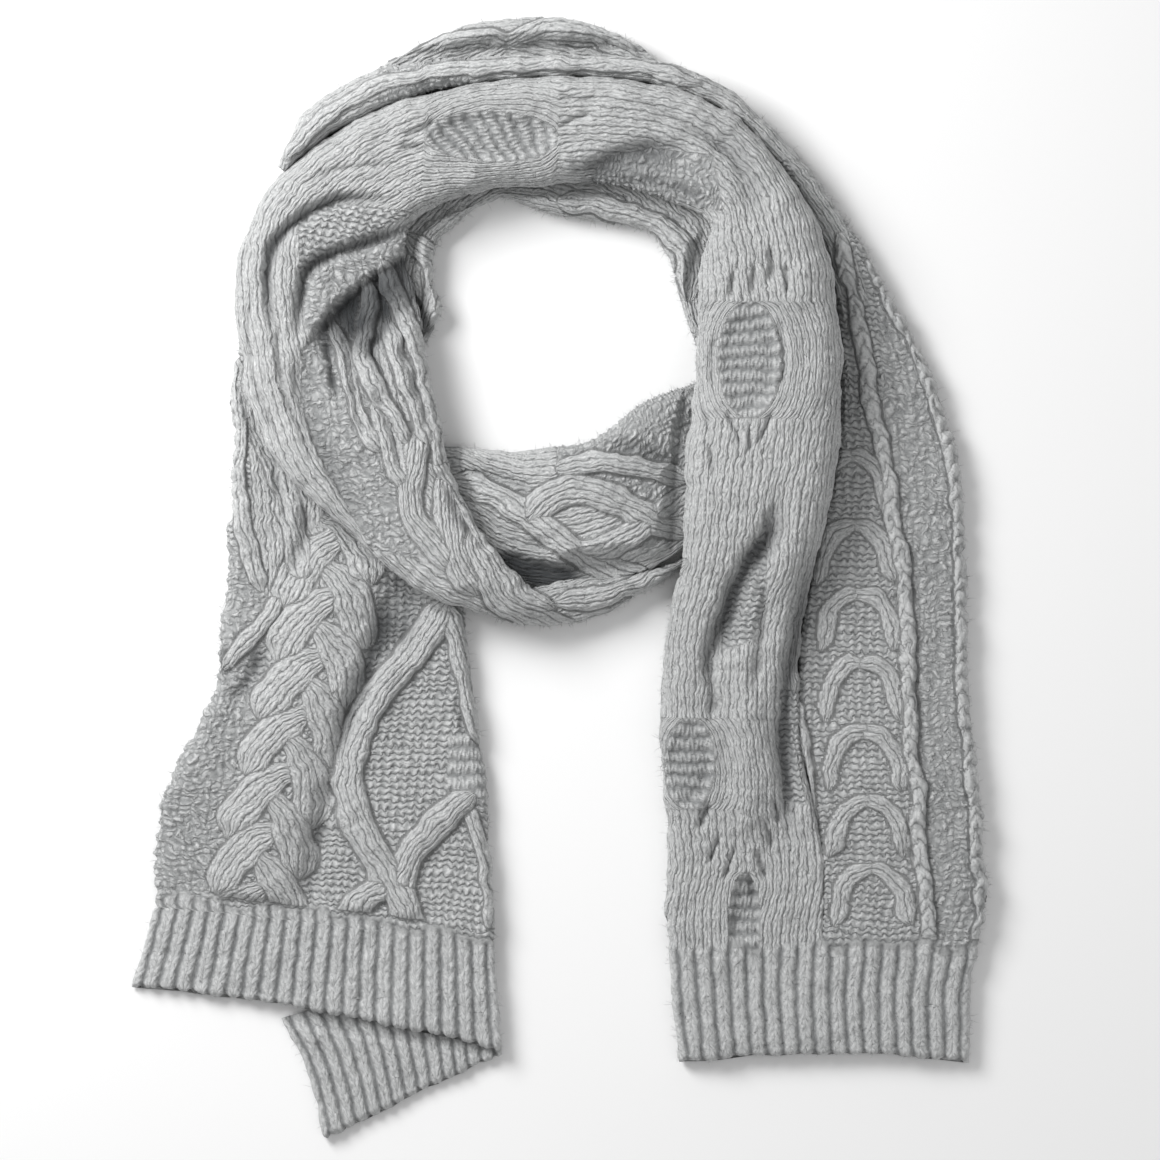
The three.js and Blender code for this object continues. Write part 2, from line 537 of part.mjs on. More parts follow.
// One closed solid: the top, four sides that follow their shapes, and a plain underside.
function clothSolid({ sides, ...shape }) {
  const top = topOf({ trim: SEAM_GAP / 2, ends: ["seam", "seam"], ...shape });
  const [lastRow, lastColumn] = [top.length - 1, top[0].length - 1];
  const positions = [];
  const triangles = [];
  const add = (v) => positions.push(v.x, v.y, v.z) / 3 - 1;
  const quad = (a, b, c, d) => triangles.push(a, c, b, a, d, c);

  const grid = top.map((row) => row.map(({ point }) => add(point)));
  for (let n = 0; n < lastRow; n++)
    for (let c = 0; c < lastColumn; c++)
      quad(grid[n][c], grid[n][c + 1], grid[n + 1][c + 1], grid[n + 1][c]);

  // The rim: the start's row, the outer side, the end's row and the inner side back.
  const rim = [
    ...top[0],
    ...top.slice(1, lastRow).map((row) => row[lastColumn]),
    ...[...top[lastRow]].reverse(),
    ...top.slice(1, lastRow).map((row) => row[0]).reverse(),
  ];
  const levels = Math.max(sides.start.length, sides.outer.length, sides.end.length, sides.inner.length);
  const inwardOf = ({ n, c }) => {
    const here = top[n][c].point;
    const beside = c === 0 ? top[n][1].point : c === lastColumn ? top[n][c - 1].point : here;
    const behind = n === 0 ? top[1][c].point : n === lastRow ? top[n - 1][c].point : here;
    const across = new THREE.Vector2(beside.x - here.x, beside.y - here.y).normalize();
    const lengthways = new THREE.Vector2(behind.x - here.x, behind.y - here.y).normalize();
    return { across, lengthways };
  };
  const levelOf = (wall, k) => {
    const shape = [{ inward: 0, up: 1 }, ...wall];
    const place = ((k + 1) / levels) * wall.length;
    const i = Math.min(wall.length - 1, Math.floor(place));
    const [p, q] = [shape[i], shape[i + 1]];
    return { inward: mix(p.inward, q.inward, place - i), up: mix(p.up, q.up, place - i) };
  };
  const loops = [rim.map(({ n, c }) => grid[n][c])];
  for (let k = 0; k < levels; k++) {
    loops.push(
      rim.map((p) => {
        const { across, lengthways } = inwardOf(p);
        const onSide = p.c === 0 || p.c === lastColumn;
        const onEnd = p.n === 0 || p.n === lastRow;
        const sideWall = p.c === 0 ? sides.inner : sides.outer;
        const endWall = p.n === 0 ? sides.start : sides.end;
        const place = new THREE.Vector2(p.point.x, p.point.y);
        if (onSide) place.addScaledVector(across, levelOf(sideWall, k).inward);
        if (onEnd) place.addScaledVector(lengthways, levelOf(endWall, k).inward);
        const { up } = levelOf(onSide ? sideWall : endWall, k);
        return add(new THREE.Vector3(place.x, place.y, p.lift + up * (p.point.z - p.lift)));
      }),
    );
  }
  for (let k = 0; k + 1 < loops.length; k++)
    rim.forEach((_, i) => {
      const j = (i + 1) % rim.length;
      quad(loops[k][i], loops[k + 1][i], loops[k + 1][j], loops[k][j]);
    });

  // The underside: strips across between the two long sides, and a fan at each end.
  const base = loops[loops.length - 1];
  const [across, along] = [lastColumn + 1, lastRow - 1];
  const outerAt = (n) => base[across + n - 1];
  const innerAt = (n) => base[2 * across + along + (along - n)];
  const startRow = base.slice(0, across);
  const endRow = base.slice(across + along, 2 * across + along);
  const fan = (row, left, right) => {
    const middle = Math.floor(row.length / 2);
    row.slice(0, -1).forEach((a, i) => triangles.push(a, row[i + 1], i < middle ? left : right));
    triangles.push(right, left, row[middle]);
  };
  fan(startRow, innerAt(1), outerAt(1));
  fan(endRow, outerAt(lastRow - 1), innerAt(lastRow - 1));
  for (let n = 1; n + 1 < lastRow; n++) quad(innerAt(n), innerAt(n + 1), outerAt(n + 1), outerAt(n));

  const geometry = new THREE.BufferGeometry();
  geometry.setAttribute("position", new THREE.Float32BufferAttribute(positions, 3));
  geometry.setIndex(triangles);
  geometry.computeVertexNormals();
  return geometry;
}

// Heights that the upper stretches leave free above the lower ones.
const underWrap = (x, y) =>
  PRESSED + PRESS_SLOPE * Math.max(0, distanceOutside(UPPER_OUTLINES, x, y) - PRESS_MARGIN);

const UNDER_HEM_GAP = 0.5;
function underHem(x, y) {
  const [b, a] = [planPoint(LEFT_HEM[0].bx, LEFT_HEM[0].by), planPoint(LEFT_HEM[0].ax, LEFT_HEM[0].ay)];
  const share = clamp01((x - b.x) / (a.x - b.x));
  const ceiling = LEFT_HEM[0].liftA * share - UNDER_HEM_GAP;
  return ceiling + PRESS_SLOPE * Math.max(0, distanceOutside(HEM_OUTLINE, x, y) - PRESS_MARGIN);
}

const [FOLD, OPEN, CUT] = [FOLDED_SIDE, OPEN_SIDE, CUT_SIDE];
const wool = () => new THREE.MeshStandardMaterial({ color: 0xb4b7b8, roughness: 0.95, metalness: 0 });

const scarf = new THREE.Group();
scarf.name = "cable_knit_scarf";

function stretch(name, shape) {
  const mesh = new THREE.Mesh(clothSolid(shape), wool());
  mesh.name = name;
  scarf.add(mesh);
}

const sidesOf = (inner, outer, start = CUT, end = CUT) => ({ inner, outer, start, end });
const ribsAcross = (rows) => {
  const { a, b } = sectionAt(rows, 0);
  return Math.round(a.distanceTo(b) / RIB_PITCH);
};

stretch("hem_left_under", {
  rows: LEFT_UNDER_HEM, pattern: PLAIN, spacing: 12, columns: 34, ribs: ribsAcross(LEFT_UNDER_HEM),
  ends: ["hem", "seam"], press: underHem, sides: sidesOf(FOLD, FOLD, FOLD, FOLD),
});
stretch("hem_left", {
  rows: LEFT_HEM, pattern: PLAIN, spacing: 13, columns: 64, ribs: ribsAcross(LEFT_HEM),
  ends: ["hem", "seam"], sides: sidesOf(FOLD, FOLD, FOLD, CUT),
});
stretch("tail_left", {
  rows: LEFT_TAIL, pattern: LOWER, spacing: 6, columns: 25, press: underWrap, sides: sidesOf(FOLD, OPEN),
});
stretch("neck_back", {
  rows: NECK_BACK, pattern: LOWER, spacing: 11, columns: 12, press: underWrap, sides: sidesOf(FOLD, FOLD),
});
stretch("neck_front", {
  rows: NECK_FRONT, pattern: LOWER, spacing: 7.5, columns: 11, press: underWrap, sides: sidesOf(FOLD, FOLD),
});
stretch("wrap_left", {
  rows: WRAP_LEFT, pattern: UPPER, spacing: 7, columns: 15, sides: sidesOf(FOLD, FOLD),
});
stretch("wrap_top", {
  rows: WRAP_TOP, pattern: UPPER, spacing: 6.5, columns: 14, sides: sidesOf(FOLD, CUT),
});
stretch("wrap_right", {
  rows: WRAP_RIGHT, pattern: UPPER, spacing: 7.5, columns: 13, sides: sidesOf(FOLD, CUT),
});
stretch("tail_right", {
  rows: RIGHT_TAIL, pattern: UPPER, spacing: 8, columns: 13, sides: sidesOf(FOLD, CUT),
});
stretch("edge_top", {
  rows: EDGE_TOP, pattern: PLAIN, spacing: 11, columns: 5, sides: sidesOf(CUT, FOLD),
});
stretch("edge_right", {
  rows: EDGE_RIGHT, pattern: OUTER, spacing: 8, columns: 11, sides: sidesOf(CUT, OPEN),
});
stretch("tail_right_edge", {
  rows: RIGHT_TAIL_EDGE, pattern: OUTER, spacing: 6.5, columns: 16, sides: sidesOf(CUT, OPEN),
});
stretch("hem_right", {
  rows: RIGHT_HEM, pattern: PLAIN, spacing: 13, columns: 54, ribs: ribsAcross(RIGHT_HEM),
  ends: ["seam", "hem"], sides: sidesOf(FOLD, FOLD, CUT, FOLD),
});

export default scarf;
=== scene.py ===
"""A cable-knit wool scarf that lies flat on a pale table, wound once and a half round an open neck
loop, with both tails hanging down side by side.

Each stretch of the folded strip is a ring of points for each step along it. A row of the section
table gives, at one place of the strip, its two edges on the plan, its underside, its thickness and
the width of its rounded edges. Between the rows a cubic curve is followed. Across the strip, at a
share t from the inner edge (0) to the outer edge (1), the top is at

    z = lift + e + (max(least, h - e - folds) + rise) * arch(d_in / r_in) * arch(d_out / r_out)

where h is the thickness, e the height of the widest line, d the distance to an edge, r the width of
its rounding, and arch(s) = sqrt(1 - (1 - s)^2) for s from 0 to 1. The folds are cut out of the
cloth, down to its least thickness, and the strands of the cables stand on it. Each point is then
moved out along the surface normal by the height of one of the knit patterns at (u, v), counted in
stitches across and along the strip. The finish works the same patterns out for each pixel.

Units are metres in the scene and millimetres in the tables. The plan is a grid of half
millimetres, counted from the left and down from the top.
"""

import logging
import math
from dataclasses import dataclass, field
from enum import Enum

import bpy
import numpy as np
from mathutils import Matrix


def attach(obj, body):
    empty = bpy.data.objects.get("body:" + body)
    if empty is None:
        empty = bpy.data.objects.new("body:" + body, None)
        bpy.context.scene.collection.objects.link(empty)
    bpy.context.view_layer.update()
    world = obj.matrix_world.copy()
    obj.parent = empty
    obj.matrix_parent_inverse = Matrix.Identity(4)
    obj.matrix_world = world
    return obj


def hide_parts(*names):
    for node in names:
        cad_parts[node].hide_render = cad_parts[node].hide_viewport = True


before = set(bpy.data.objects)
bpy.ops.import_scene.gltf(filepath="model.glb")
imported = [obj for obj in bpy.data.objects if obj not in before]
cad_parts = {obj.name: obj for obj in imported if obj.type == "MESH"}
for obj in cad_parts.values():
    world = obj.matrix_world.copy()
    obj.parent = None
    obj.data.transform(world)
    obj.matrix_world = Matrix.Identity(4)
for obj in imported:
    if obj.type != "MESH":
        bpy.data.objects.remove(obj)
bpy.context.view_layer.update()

log = logging.getLogger("scarf")

Array = np.ndarray

MM = 0.001
TURN = 2 * math.pi
PLAN_UNIT = 0.5  # millimetres
PLAN_CENTRE = (559.1, 578.2)
WALE = 4.4  # width of a stitch, mm
COURSE = 3.3  # height of a stitch, mm
CHAIN_COURSE = 9.0  # height of a stitch in a chain of single stitches, mm
EDGE_SHARE = 0.42  # height of the widest line, as a share of the thickness
LEAST_CLOTH = 1.5  # left above the widest line under the deepest fold, mm
PRESSED = 12.4  # height of a lower stretch where an upper one lies on it, mm
PRESS_SLOPE = 1.5  # how fast it rises again beside the upper one
PRESS_MARGIN = 5.0  # from where on it does, mm
FOLD_FADE = 0.3  # share of a fold's length over which it fades at each end
MOUND_FADE = 0.12  # the same for a mound
FOLD_SHADE = 9.0  # depth of fold at which the painted fold shade is darkest, mm
ROPE_LIGHT = 0.5  # share of a strand's rise that lifts it out of a fold's painted shade
WAVER = 1.3  # of the strands' outlines, mm
WAVER_CELL = 8  # over which it changes, mm
STRAND_TAPER = 11.0  # over which a strand rises and widens at its ends, mm
BLUNTNESS = 0.3  # share of its height that a strand has at its very end
STRAND_ROUND = 0.6  # power that rounds a strand, across and at its ends
FOOT = 0.25  # share of a strand's half width at its foot whose stitches sink and get painted shade
FULL_RISE = 3  # of a strand whose foot sinks and gets painted shade in full, mm
OVAL_DEPTH = 3.2  # mm
OVAL_RIM = 0.3  # width of an oval's slope, as a share of its half size
HEM_ROUND = 2.5  # rounding of a hem's end, mm
SELVEDGE = 1.1  # how far the selvedge waves, mm
SEAM_OVERLAP = 0.2  # by which the right tail runs on over its hem, mm
RIB_START = 6.0  # how far the ribbing runs on past the hem's seam, mm
CABLE_FADE = 7.0  # over which the cables rise from there
DRAW_IN = 45.0  # over which the columns of stitches close up to the ribbing, mm
DRAWN = 12  # distance from the hem's seam where they are closed up, mm
RIB_STAGGER = 4.0  # by which the ribs start unevenly, mm
RIB_BLEND = 5.0  # over which a rib starts, mm
HEM_SCALLOP = 0.6  # how far each rib stands out at the hem, mm
HEM_WAVE = 1.4  # how far the hem itself waves, mm
HEM_REACH = 9  # over which both die away, mm
FOOT_IN = 2.6  # how far a side is set in on the table, mm
GROOVE = (2.4, 0.62, 0.16)  # between two layers: depth in mm, place and width as shares
MEAN_STITCH = 0.7  # height of the stitches that lies on the smooth surface, mm
CALM = 1.2  # height over the table below which the stitches are flattened, mm
UNEVEN = 0.2  # share by which one stitch is higher than the next
LOOSE = (2.0, 1.5)  # how much more moss stitches wander, across and along
FOLD_PAINTED_SHADE = (0.5, 0.45, 0.7)  # painted fold shade: two steps, and where the second starts

# Noises, each with its size, its cell in millimetres and its seed.
WANDER_ACROSS = ((0.20, 9, 3), (0.10, 3.1, 4))  # in stitches
WANDER_ALONG = ((0.34, 8, 5), (0.16, 3.3, 6))
LUMPS = ((0.9, 11, 9), (0.45, 4.2, 10))  # in millimetres
WAVERS = (((WAVER, WAVER_CELL, 14),), ((WAVER, WAVER_CELL, 15),))


class Knit(Enum):
    """The knit patterns of the ground."""

    STOCKINETTE = 0
    PURL = 1
    MOSS = 2
    GARTER = 3
    RIB = 4
    CHAIN = 5


class Side(Enum):
    """How a stretch's long side looks below its widest line."""

    FOLD = "fold"
    OPEN = "open"
    CREASE = "crease"


class Hold(Enum):
    LAID = "laid"
    FOLDED = "folded"



def table(rows: list[list[float]], after: Array | None = None) -> Array:
    """Fills a section table up.

    Args:
        rows: Inner edge x, y; outer edge x, y; lift inner, outer; thickness inner, outer; rounding
            inner, outer; bow. Edges are on the plan, the rest in millimetres. A short row goes on
            with the numbers of the row above it.
        after: Table whose last row comes first.

    Returns:
        The rows.
    """
    made = [] if after is None else [after[-1].tolist()]
    for row in rows:
        made.append(row + made[-1][len(row):] if made else row)
    return np.array(made, float)


LEFT_HEM = table([
    [500, 1051, 131, 986, 5.6, 0, 6, 6, 5, 5, 3.5],
    [497, 1004, 140, 955, 5.6, 0, 6, 6, 5, 5, 2],
    [494, 950, 153, 908, 5.6, 0, 6.5, 6.5],
])
LEFT_TAIL = table([
    [492, 900, 151, 868, 2.5, 0, 9, 8, 6, 6, 0],
    [489, 840, 157, 822, 0, 0, 12, 10, 6, 8],
    [486, 785, 168, 783, 0, 0, 12, 12, 6, 9],
    [478, 735, 188, 742, 0, 0, 12, 13, 6, 10],
    [473, 690, 212, 701, 0, 0, 12, 14, 6, 9],
    [468, 650, 220, 655, 0, 0, 12, 14, 6, 7],
    [463, 606, 223, 605],
    [455, 555, 227, 555],
    [440, 500, 231, 500],
    [425, 440, 233, 445],
    [418, 390, 229, 395],
    [424, 345, 238, 345, 0, 0, 13],
], after=LEFT_HEM)
LEFT_UNDER_HEM = table([
    [500, 1056, 325, 1140, 0, 0, 5.2, 5.2, 3, 4, 1],
    [496, 1010, 306, 1072, 0, 0, 5.2, 5.2, 3, 4, 0],
    [490, 965, 280, 1020],
])
NECK_BACK = table([
    [441, 306, 244, 290, 0, 0, 17, 14, 7],
    [431, 275, 253, 240],
    [437, 240, 273, 195, 0, 0, 16],
    [463, 217, 322, 118],
    [498, 196, 396, 56, 0, 0, 16, 18, 7, 10],
    [526, 203, 470, 25, 0, 0, 17, 22, 8, 13],
    [558, 214, 550, 17, 0, 0, 18, 23, 9, 14],
    [604, 221, 618, 33, 0, 0, 18, 21, 9, 12],
    [650, 231, 690, 88, 0, 0, 18, 14, 9, 7],
    [671, 256, 768, 152, 0, 0, 17, 14, 8],
    [678, 290, 815, 240, 0, 0, 16, 14, 7],
    [690, 328, 832, 310, 0, 0, 15],
], after=LEFT_TAIL)
NECK_FRONT = table([
    [703, 362, 832, 378],
    [700, 378, 822, 448],
    [686, 386, 780, 496, 0, 0, 16],
    [660, 395, 705, 536, 0, 0, 20, 16, 14, 9],
    [632, 412, 655, 566, 0, 0, 24, 22, 18, 12],
    [592, 440, 600, 582, 0, 0, 25, 25, 18, 13],
    [545, 449, 552, 588, 0, 0, 24, 24, 17],
    [500, 451, 512, 576, 0, 0, 21, 20, 14, 12],
    [458, 446, 482, 545, 0, 0, 16, 14, 9, 9],
    [432, 446, 452, 535, 0, 0, 13, 13, 7, 7],
], after=NECK_BACK)
WRAP_LEFT = table([
    [688, 554, 690, 563, 0, 0, 7, 7, 3, 3, 0],
    [652, 569, 656, 585, 0, 0, 13, 13, 6, 6],
    [602, 575, 608, 611, 0, 0, 17, 17, 9, 9],
    [562, 582, 562, 624, 2, 2, 20, 20, 11, 11],
    [533, 586, 515, 624, 7, 5, 22, 22, 12, 12],
    [508, 566, 468, 608, 13, 12.5, 21, 21, 12, 13],
    [486, 540, 418, 590, 14, 14, 20, 23, 13, 17],
    [466, 508, 372, 552, 14, 14, 18, 24, 14, 21],
    [453, 474, 318, 503, 14, 14, 17, 25, 15, 24],
    [443, 436, 276, 458, 14, 14, 16, 26, 15, 26],
    [435, 398, 252, 402, 14, 14, 15, 26, 14, 27],
    [427, 362, 244, 355, 14, 14, 14, 27, 13],
    [421, 322, 236, 308, 14, 14, 14, 27, 12],
    [413, 285, 238, 266, 14, 14, 14, 27, 12, 26],
])
WRAP_TOP = table([
    [404, 258, 248, 231, 14, 14, 16, 27, 12, 24],
    [408, 232, 263, 200, 14, 14, 19, 27, 12, 22],
    [427, 212, 288, 172, 14, 14, 22, 26, 13, 19],
    [456, 199, 338, 132, 14, 14, 24, 26, 14, 15],
    [492, 190, 402, 102, 14, 14, 25, 26, 15, 13],
    [530, 187, 480, 85, 14, 14, 25, 27, 16],
    [572, 184, 560, 78, 14, 14, 24],
    [616, 186, 630, 82, 14, 14, 21, 28, 15],
    [662, 198, 690, 96, 14, 14, 20, 29, 14, 14],
    [702, 214, 738, 120, 14, 14, 21, 30, 13, 16],
], after=WRAP_LEFT)
WRAP_RIGHT = table([
    [713, 230, 777, 163, 14, 14, 24, 30, 14, 18],
    [704, 254, 807, 206, 14, 14, 26, 30, 17, 20],
    [698, 287, 828, 258, 14, 14, 27, 30, 20, 22],
    [697, 340, 839, 326, 14, 14, 27, 30, 22, 24],
    [694, 396, 841, 396],
    [687, 450, 838, 450, 14, 14, 27, 29, 22, 23],
    [684, 508, 826, 510, 14, 14, 27, 28, 21, 20],
    [682, 562, 813, 570, 13.6, 9, 23, 26, 19, 17],
], after=WRAP_TOP)
RIGHT_TAIL = table([
    [669, 620, 802, 624, 2, 2, 27, 25, 17, 14],
    [662, 680, 799, 684, 0, 0, 23, 22, 15, 11],
    [661, 740, 801, 740, 0, 0, 19, 19, 12, 8],
    [666, 800, 814, 800, 0, 0, 15, 15, 9, 5],
    [668, 850, 823, 850, 0, 0, 12, 12, 7, 3],
    [667, 900, 825, 900, 0, 0, 11, 11, 6, 2],
    [670, 957, 823, 957, 0, 0, 10.5, 10.5],
], after=WRAP_RIGHT)
EDGE_TOP = table([
    [286, 173, 279, 167, 14, 14, 17, 16, 2, 2, 0],
    [306, 155, 293, 133, 14, 14, 22, 19, 4, 5],
    [338, 132, 320, 101, 14, 14, 23, 20, 6, 10],
    [402, 102, 388, 68, 14, 14, 22, 20, 6, 11],
    [480, 84.5, 479, 59, 14, 14, 21, 19, 6, 9],
    [560, 78, 564, 56, 14, 14, 21, 19, 5, 8],
    [630, 82, 645, 61],
    [690, 96, 704, 76, 14, 14, 18, 17],
    [738, 120, 755, 112, 12, 11, 17, 16],
    [777, 163, 799, 157, 9, 7, 16, 15],
])
EDGE_RIGHT = table([
    [807, 206, 843, 214, 5, 3, 13, 14, 5, 7],
    [828, 258, 878, 272, 0, 0, 12, 14, 4, 6],
    [839, 326, 915, 338, 0, 0, 10, 12],
    [841, 396, 941, 400, 0, 0, 9, 11],
    [838, 450, 956, 450, 0, 0, 9, 11, 4, 5],
    [826, 510, 964, 510, 0, 0, 10],
    [813, 570, 967, 570],
], after=EDGE_TOP)
RIGHT_TAIL_EDGE = table([
    [802, 624, 967, 625],
    [797, 684, 970, 684],
    [798, 740, 974, 740, 0, 0, 10, 11, 3],
    [811, 800, 980, 800, 0, 0, 10.5],
    [820, 850, 984, 850],
    [822, 900, 987, 900, 0, 0, 10.5, 11, 2],
    [821, 957, 977, 957, 0, 0, 10.5, 10.5],
], after=EDGE_RIGHT)
RIGHT_HEM = table([
    [670, 957, 977, 957, 0, 0, 10.5, 10.5, 5, 5, 0],
    [673, 990, 970, 990, 0, 0, 10, 10],
    [676, 1026, 970, 1024],
    [680, 1064, 970, 1062, 0, 0, 9.5, 9.5, 5, 5, -4.5],
])

# Paths on the plan, each with its sizes in millimetres. A fold: depth, width on the left of its
# direction, width on the right, points. A fold's depth also sets the painted shade in it.
WRAP_FOLDS = [
    (8, 3.4, 2.6, [(414, 212), (385, 203), (353, 200), (330, 204), (300, 221), (278, 243),
                   (270, 268),
                 (270, 300), (276, 335), (284, 380)]),
    (8.5, 3.4, 2.6, [(450, 200), (407, 230), (370, 243), (332, 256), (311, 269), (303, 290),
                     (300, 325),
                 (302, 356)]),
    (12, 26, 2.6, [(440, 218), (432, 236), (406, 260), (380, 279), (352, 300), (335, 316),
                   (318, 338),
                (300, 362)]),
    (4, 9, 9, [(404, 262), (384, 300), (366, 340), (380, 372)]),
    (3.5, 1.8, 2.6, [(380, 284), (387, 312), (384, 334), (372, 350), (384, 372), (392, 392)]),
    (3.5, 2.6, 2, [(392, 326), (404, 358), (416, 388), (427, 412), (436, 440)]),
    (4.5, 5, 4, [(345, 298), (354, 316), (360, 338)]),
    (3.5, 2, 2, [(340, 322), (350, 362), (358, 404), (364, 430), (372, 452)]),
    (5, 1.8, 1.8, [(324, 330), (330, 356), (334, 380), (342, 410)]),
    (4.5, 10, 3, [(302, 340), (298, 370), (302, 405), (316, 440), (333, 475), (355, 510),
                  (398, 566)]),
    (4, 2.2, 2.2, [(372, 385), (390, 425), (407, 480)]),
    (3.4, 1.7, 1.7, [(258, 280), (250, 330), (256, 380), (276, 430), (300, 476)]),
    (3.4, 1.7, 1.7, [(286, 300), (280, 350), (288, 396), (306, 440), (326, 480)]),
    (2.6, 1.6, 1.6, [(262, 226), (246, 262), (243, 300)]),
    (2.6, 1.6, 1.6, [(330, 500), (356, 540), (392, 578), (430, 600)]),
    (2, 2, 2, [(300, 190), (330, 176), (372, 168), (410, 176)]),
    (7, 4, 16, [(556, 186), (600, 165), (650, 150), (712, 158)]),
    (4, 3, 3, [(600, 184), (650, 184), (690, 196), (718, 212)]),
    (4, 10, 5, [(680, 130), (722, 150), (746, 184), (752, 240)]),
    (2.5, 2, 2, [(600, 100), (660, 112), (720, 150), (752, 190)]),
    (9, 7, 4, [(790, 470), (772, 515), (762, 540), (745, 565), (731, 592), (721, 622), (708, 660),
              (700, 700)]),
    (4, 3, 3, [(704, 640), (712, 690), (714, 726)]),
    (8, 5, 4, [(822, 520), (806, 580), (795, 630), (786, 690), (784, 750), (788, 815), (794, 860)]),
    (3, 3, 3, [(760, 560), (764, 610), (758, 660), (752, 700)]),
    (4, 2, 2, [(440, 470), (462, 520), (498, 566)]),
    (3.6, 1.5, 1.5, [(722, 832), (714, 850), (708, 868)]),
    (3.6, 1.5, 1.5, [(738, 842), (730, 864), (722, 884)]),
    (3.6, 1.5, 1.5, [(772, 796), (777, 812), (780, 828)]),
    (3.6, 1.5, 1.5, [(764, 818), (769, 836), (774, 852)]),
    (3.6, 1.5, 1.5, [(756, 846), (762, 866), (768, 884)]),
    (3.6, 1.5, 1.5, [(748, 868), (752, 888), (757, 906)]),
    (4, 2, 2, [(712, 800), (704, 815), (698, 834)]),
    (3.2, 1.5, 1.5, [(768, 246), (770, 264), (768, 290)]),
    (3.2, 1.5, 1.5, [(752, 262), (752, 280), (750, 300)]),
    (3.2, 1.5, 1.5, [(734, 268), (731, 286), (730, 304)]),
    (3.2, 1.5, 1.5, [(784, 262), (786, 280), (785, 300)]),
    (3, 2, 2, [(776, 316), (783, 360), (777, 400)]),
    (3, 2, 2, [(718, 324), (711, 362), (718, 402)]),
    (3.2, 1.5, 1.5, [(724, 410), (734, 430), (742, 450)]),
    (3.2, 1.5, 1.5, [(774, 408), (764, 430), (756, 450)]),
    (3.2, 1.5, 1.5, [(748, 424), (749, 440), (748, 458)]),
    (3, 1.6, 1.6, [(706, 440), (711, 462), (713, 486)]),
    (3, 1.6, 1.6, [(702, 400), (706, 420), (708, 440)]),
    (3, 1.8, 1.8, [(440, 120), (424, 132), (400, 142)]),
    (3, 1.8, 1.8, [(436, 158), (418, 150), (396, 152)]),
    (3, 1.8, 1.8, [(556, 96), (580, 102), (604, 106)]),
    (3, 1.8, 1.8, [(556, 130), (576, 122), (600, 112)]),
]
LOWER_FOLDS = [
    (12, 5, 4, [(396, 276), (408, 300), (420, 318), (425, 345)]),
    (9, 6, 4, [(396, 590), (384, 620), (372, 654), (357, 690), (343, 735), (338, 796)]),
    # A broad fold under the upper wrap: it lowers the cloth and paints shade on it.
    (6, 12, 12, [(404, 560), (404, 605), (394, 670)]),
    (5, 5, 5, [(338, 770), (322, 810), (312, 860), (308, 930)]),
    (5, 5, 5, [(306, 500), (302, 540), (286, 590)]),
    (5, 6, 4, [(268, 640), (250, 680), (222, 704)]),
    (5, 3, 3, [(262, 410), (276, 470), (290, 540)]),
    (4, 2, 2.5, [(222, 640), (226, 664), (232, 690)]),
    (5, 5, 4, [(600, 444), (640, 452), (700, 472)]),
    (4, 4, 5, [(448, 468), (500, 478), (548, 498)]),
    (4, 3, 5, [(636, 552), (662, 540), (700, 536)]),
    (18, 6, 9, [(480, 546), (510, 563), (540, 574), (566, 576), (600, 574)]),
    (4, 4, 4, [(470, 500), (520, 540), (560, 545)]),
    (4, 3, 4, [(590, 186), (650, 208), (704, 236)]),
    (3, 2, 2, [(456, 690), (462, 720), (466, 742)]),
]

# A strand: half width, rise, columns of stitches across it, points.
LATTICE = [
    (8.6, 4.4, 4, [(446, 602), (424, 638), (399, 668), (374, 700), (353, 742), (348, 788),
                   (360, 830),
                   (380, 865), (400, 898), (408, 925), (404, 958)]),
    (8.2, 4.0, 4, [(470, 794), (440, 822), (414, 850), (400, 878), (398, 900)]),
    (7.5, 3.6, 3, [(396, 885), (372, 892), (354, 908), (346, 935), (344, 960)]),
    (6.0, 3.0, 3, [(446, 606), (460, 650), (472, 700), (480, 742)]),
    (4.6, 2.6, 2, [(468, 806), (480, 840), (489, 880), (492, 930)]),
    (6.5, 3.2, 3, [(246, 362), (257, 410), (272, 455), (286, 500), (298, 545), (300, 585)]),
    (5.0, 2.6, 2, [(280, 596), (262, 625), (243, 645), (224, 668)]),
    (5.0, 2.4, 2, [(236, 360), (238, 420), (236, 480), (246, 540), (262, 590)]),
    (7.0, 3.0, 3, [(452, 480), (490, 492), (530, 516), (560, 540), (600, 566), (650, 580)]),
    (8.0, 3.2, 4, [(518, 524), (546, 502), (575, 490), (615, 500), (650, 520), (690, 530)]),
    (7.0, 3.0, 3, [(560, 552), (600, 548), (640, 530), (676, 505), (700, 490)]),
    (6.0, 3.0, 3, [(560, 470), (600, 462), (650, 470), (690, 480)]),
    (6.0, 2.6, 3, [(380, 80), (430, 52), (480, 40), (530, 50), (590, 60), (640, 70)]),
    (6.0, 2.6, 3, [(430, 80), (480, 58), (530, 34), (580, 30), (630, 48), (690, 84)]),
    (6.0, 3.0, 3, [(404, 236), (430, 258), (436, 290), (424, 330)]),
    (6.0, 3.0, 3, [(560, 200), (600, 206), (650, 220), (684, 250), (690, 300)]),
]
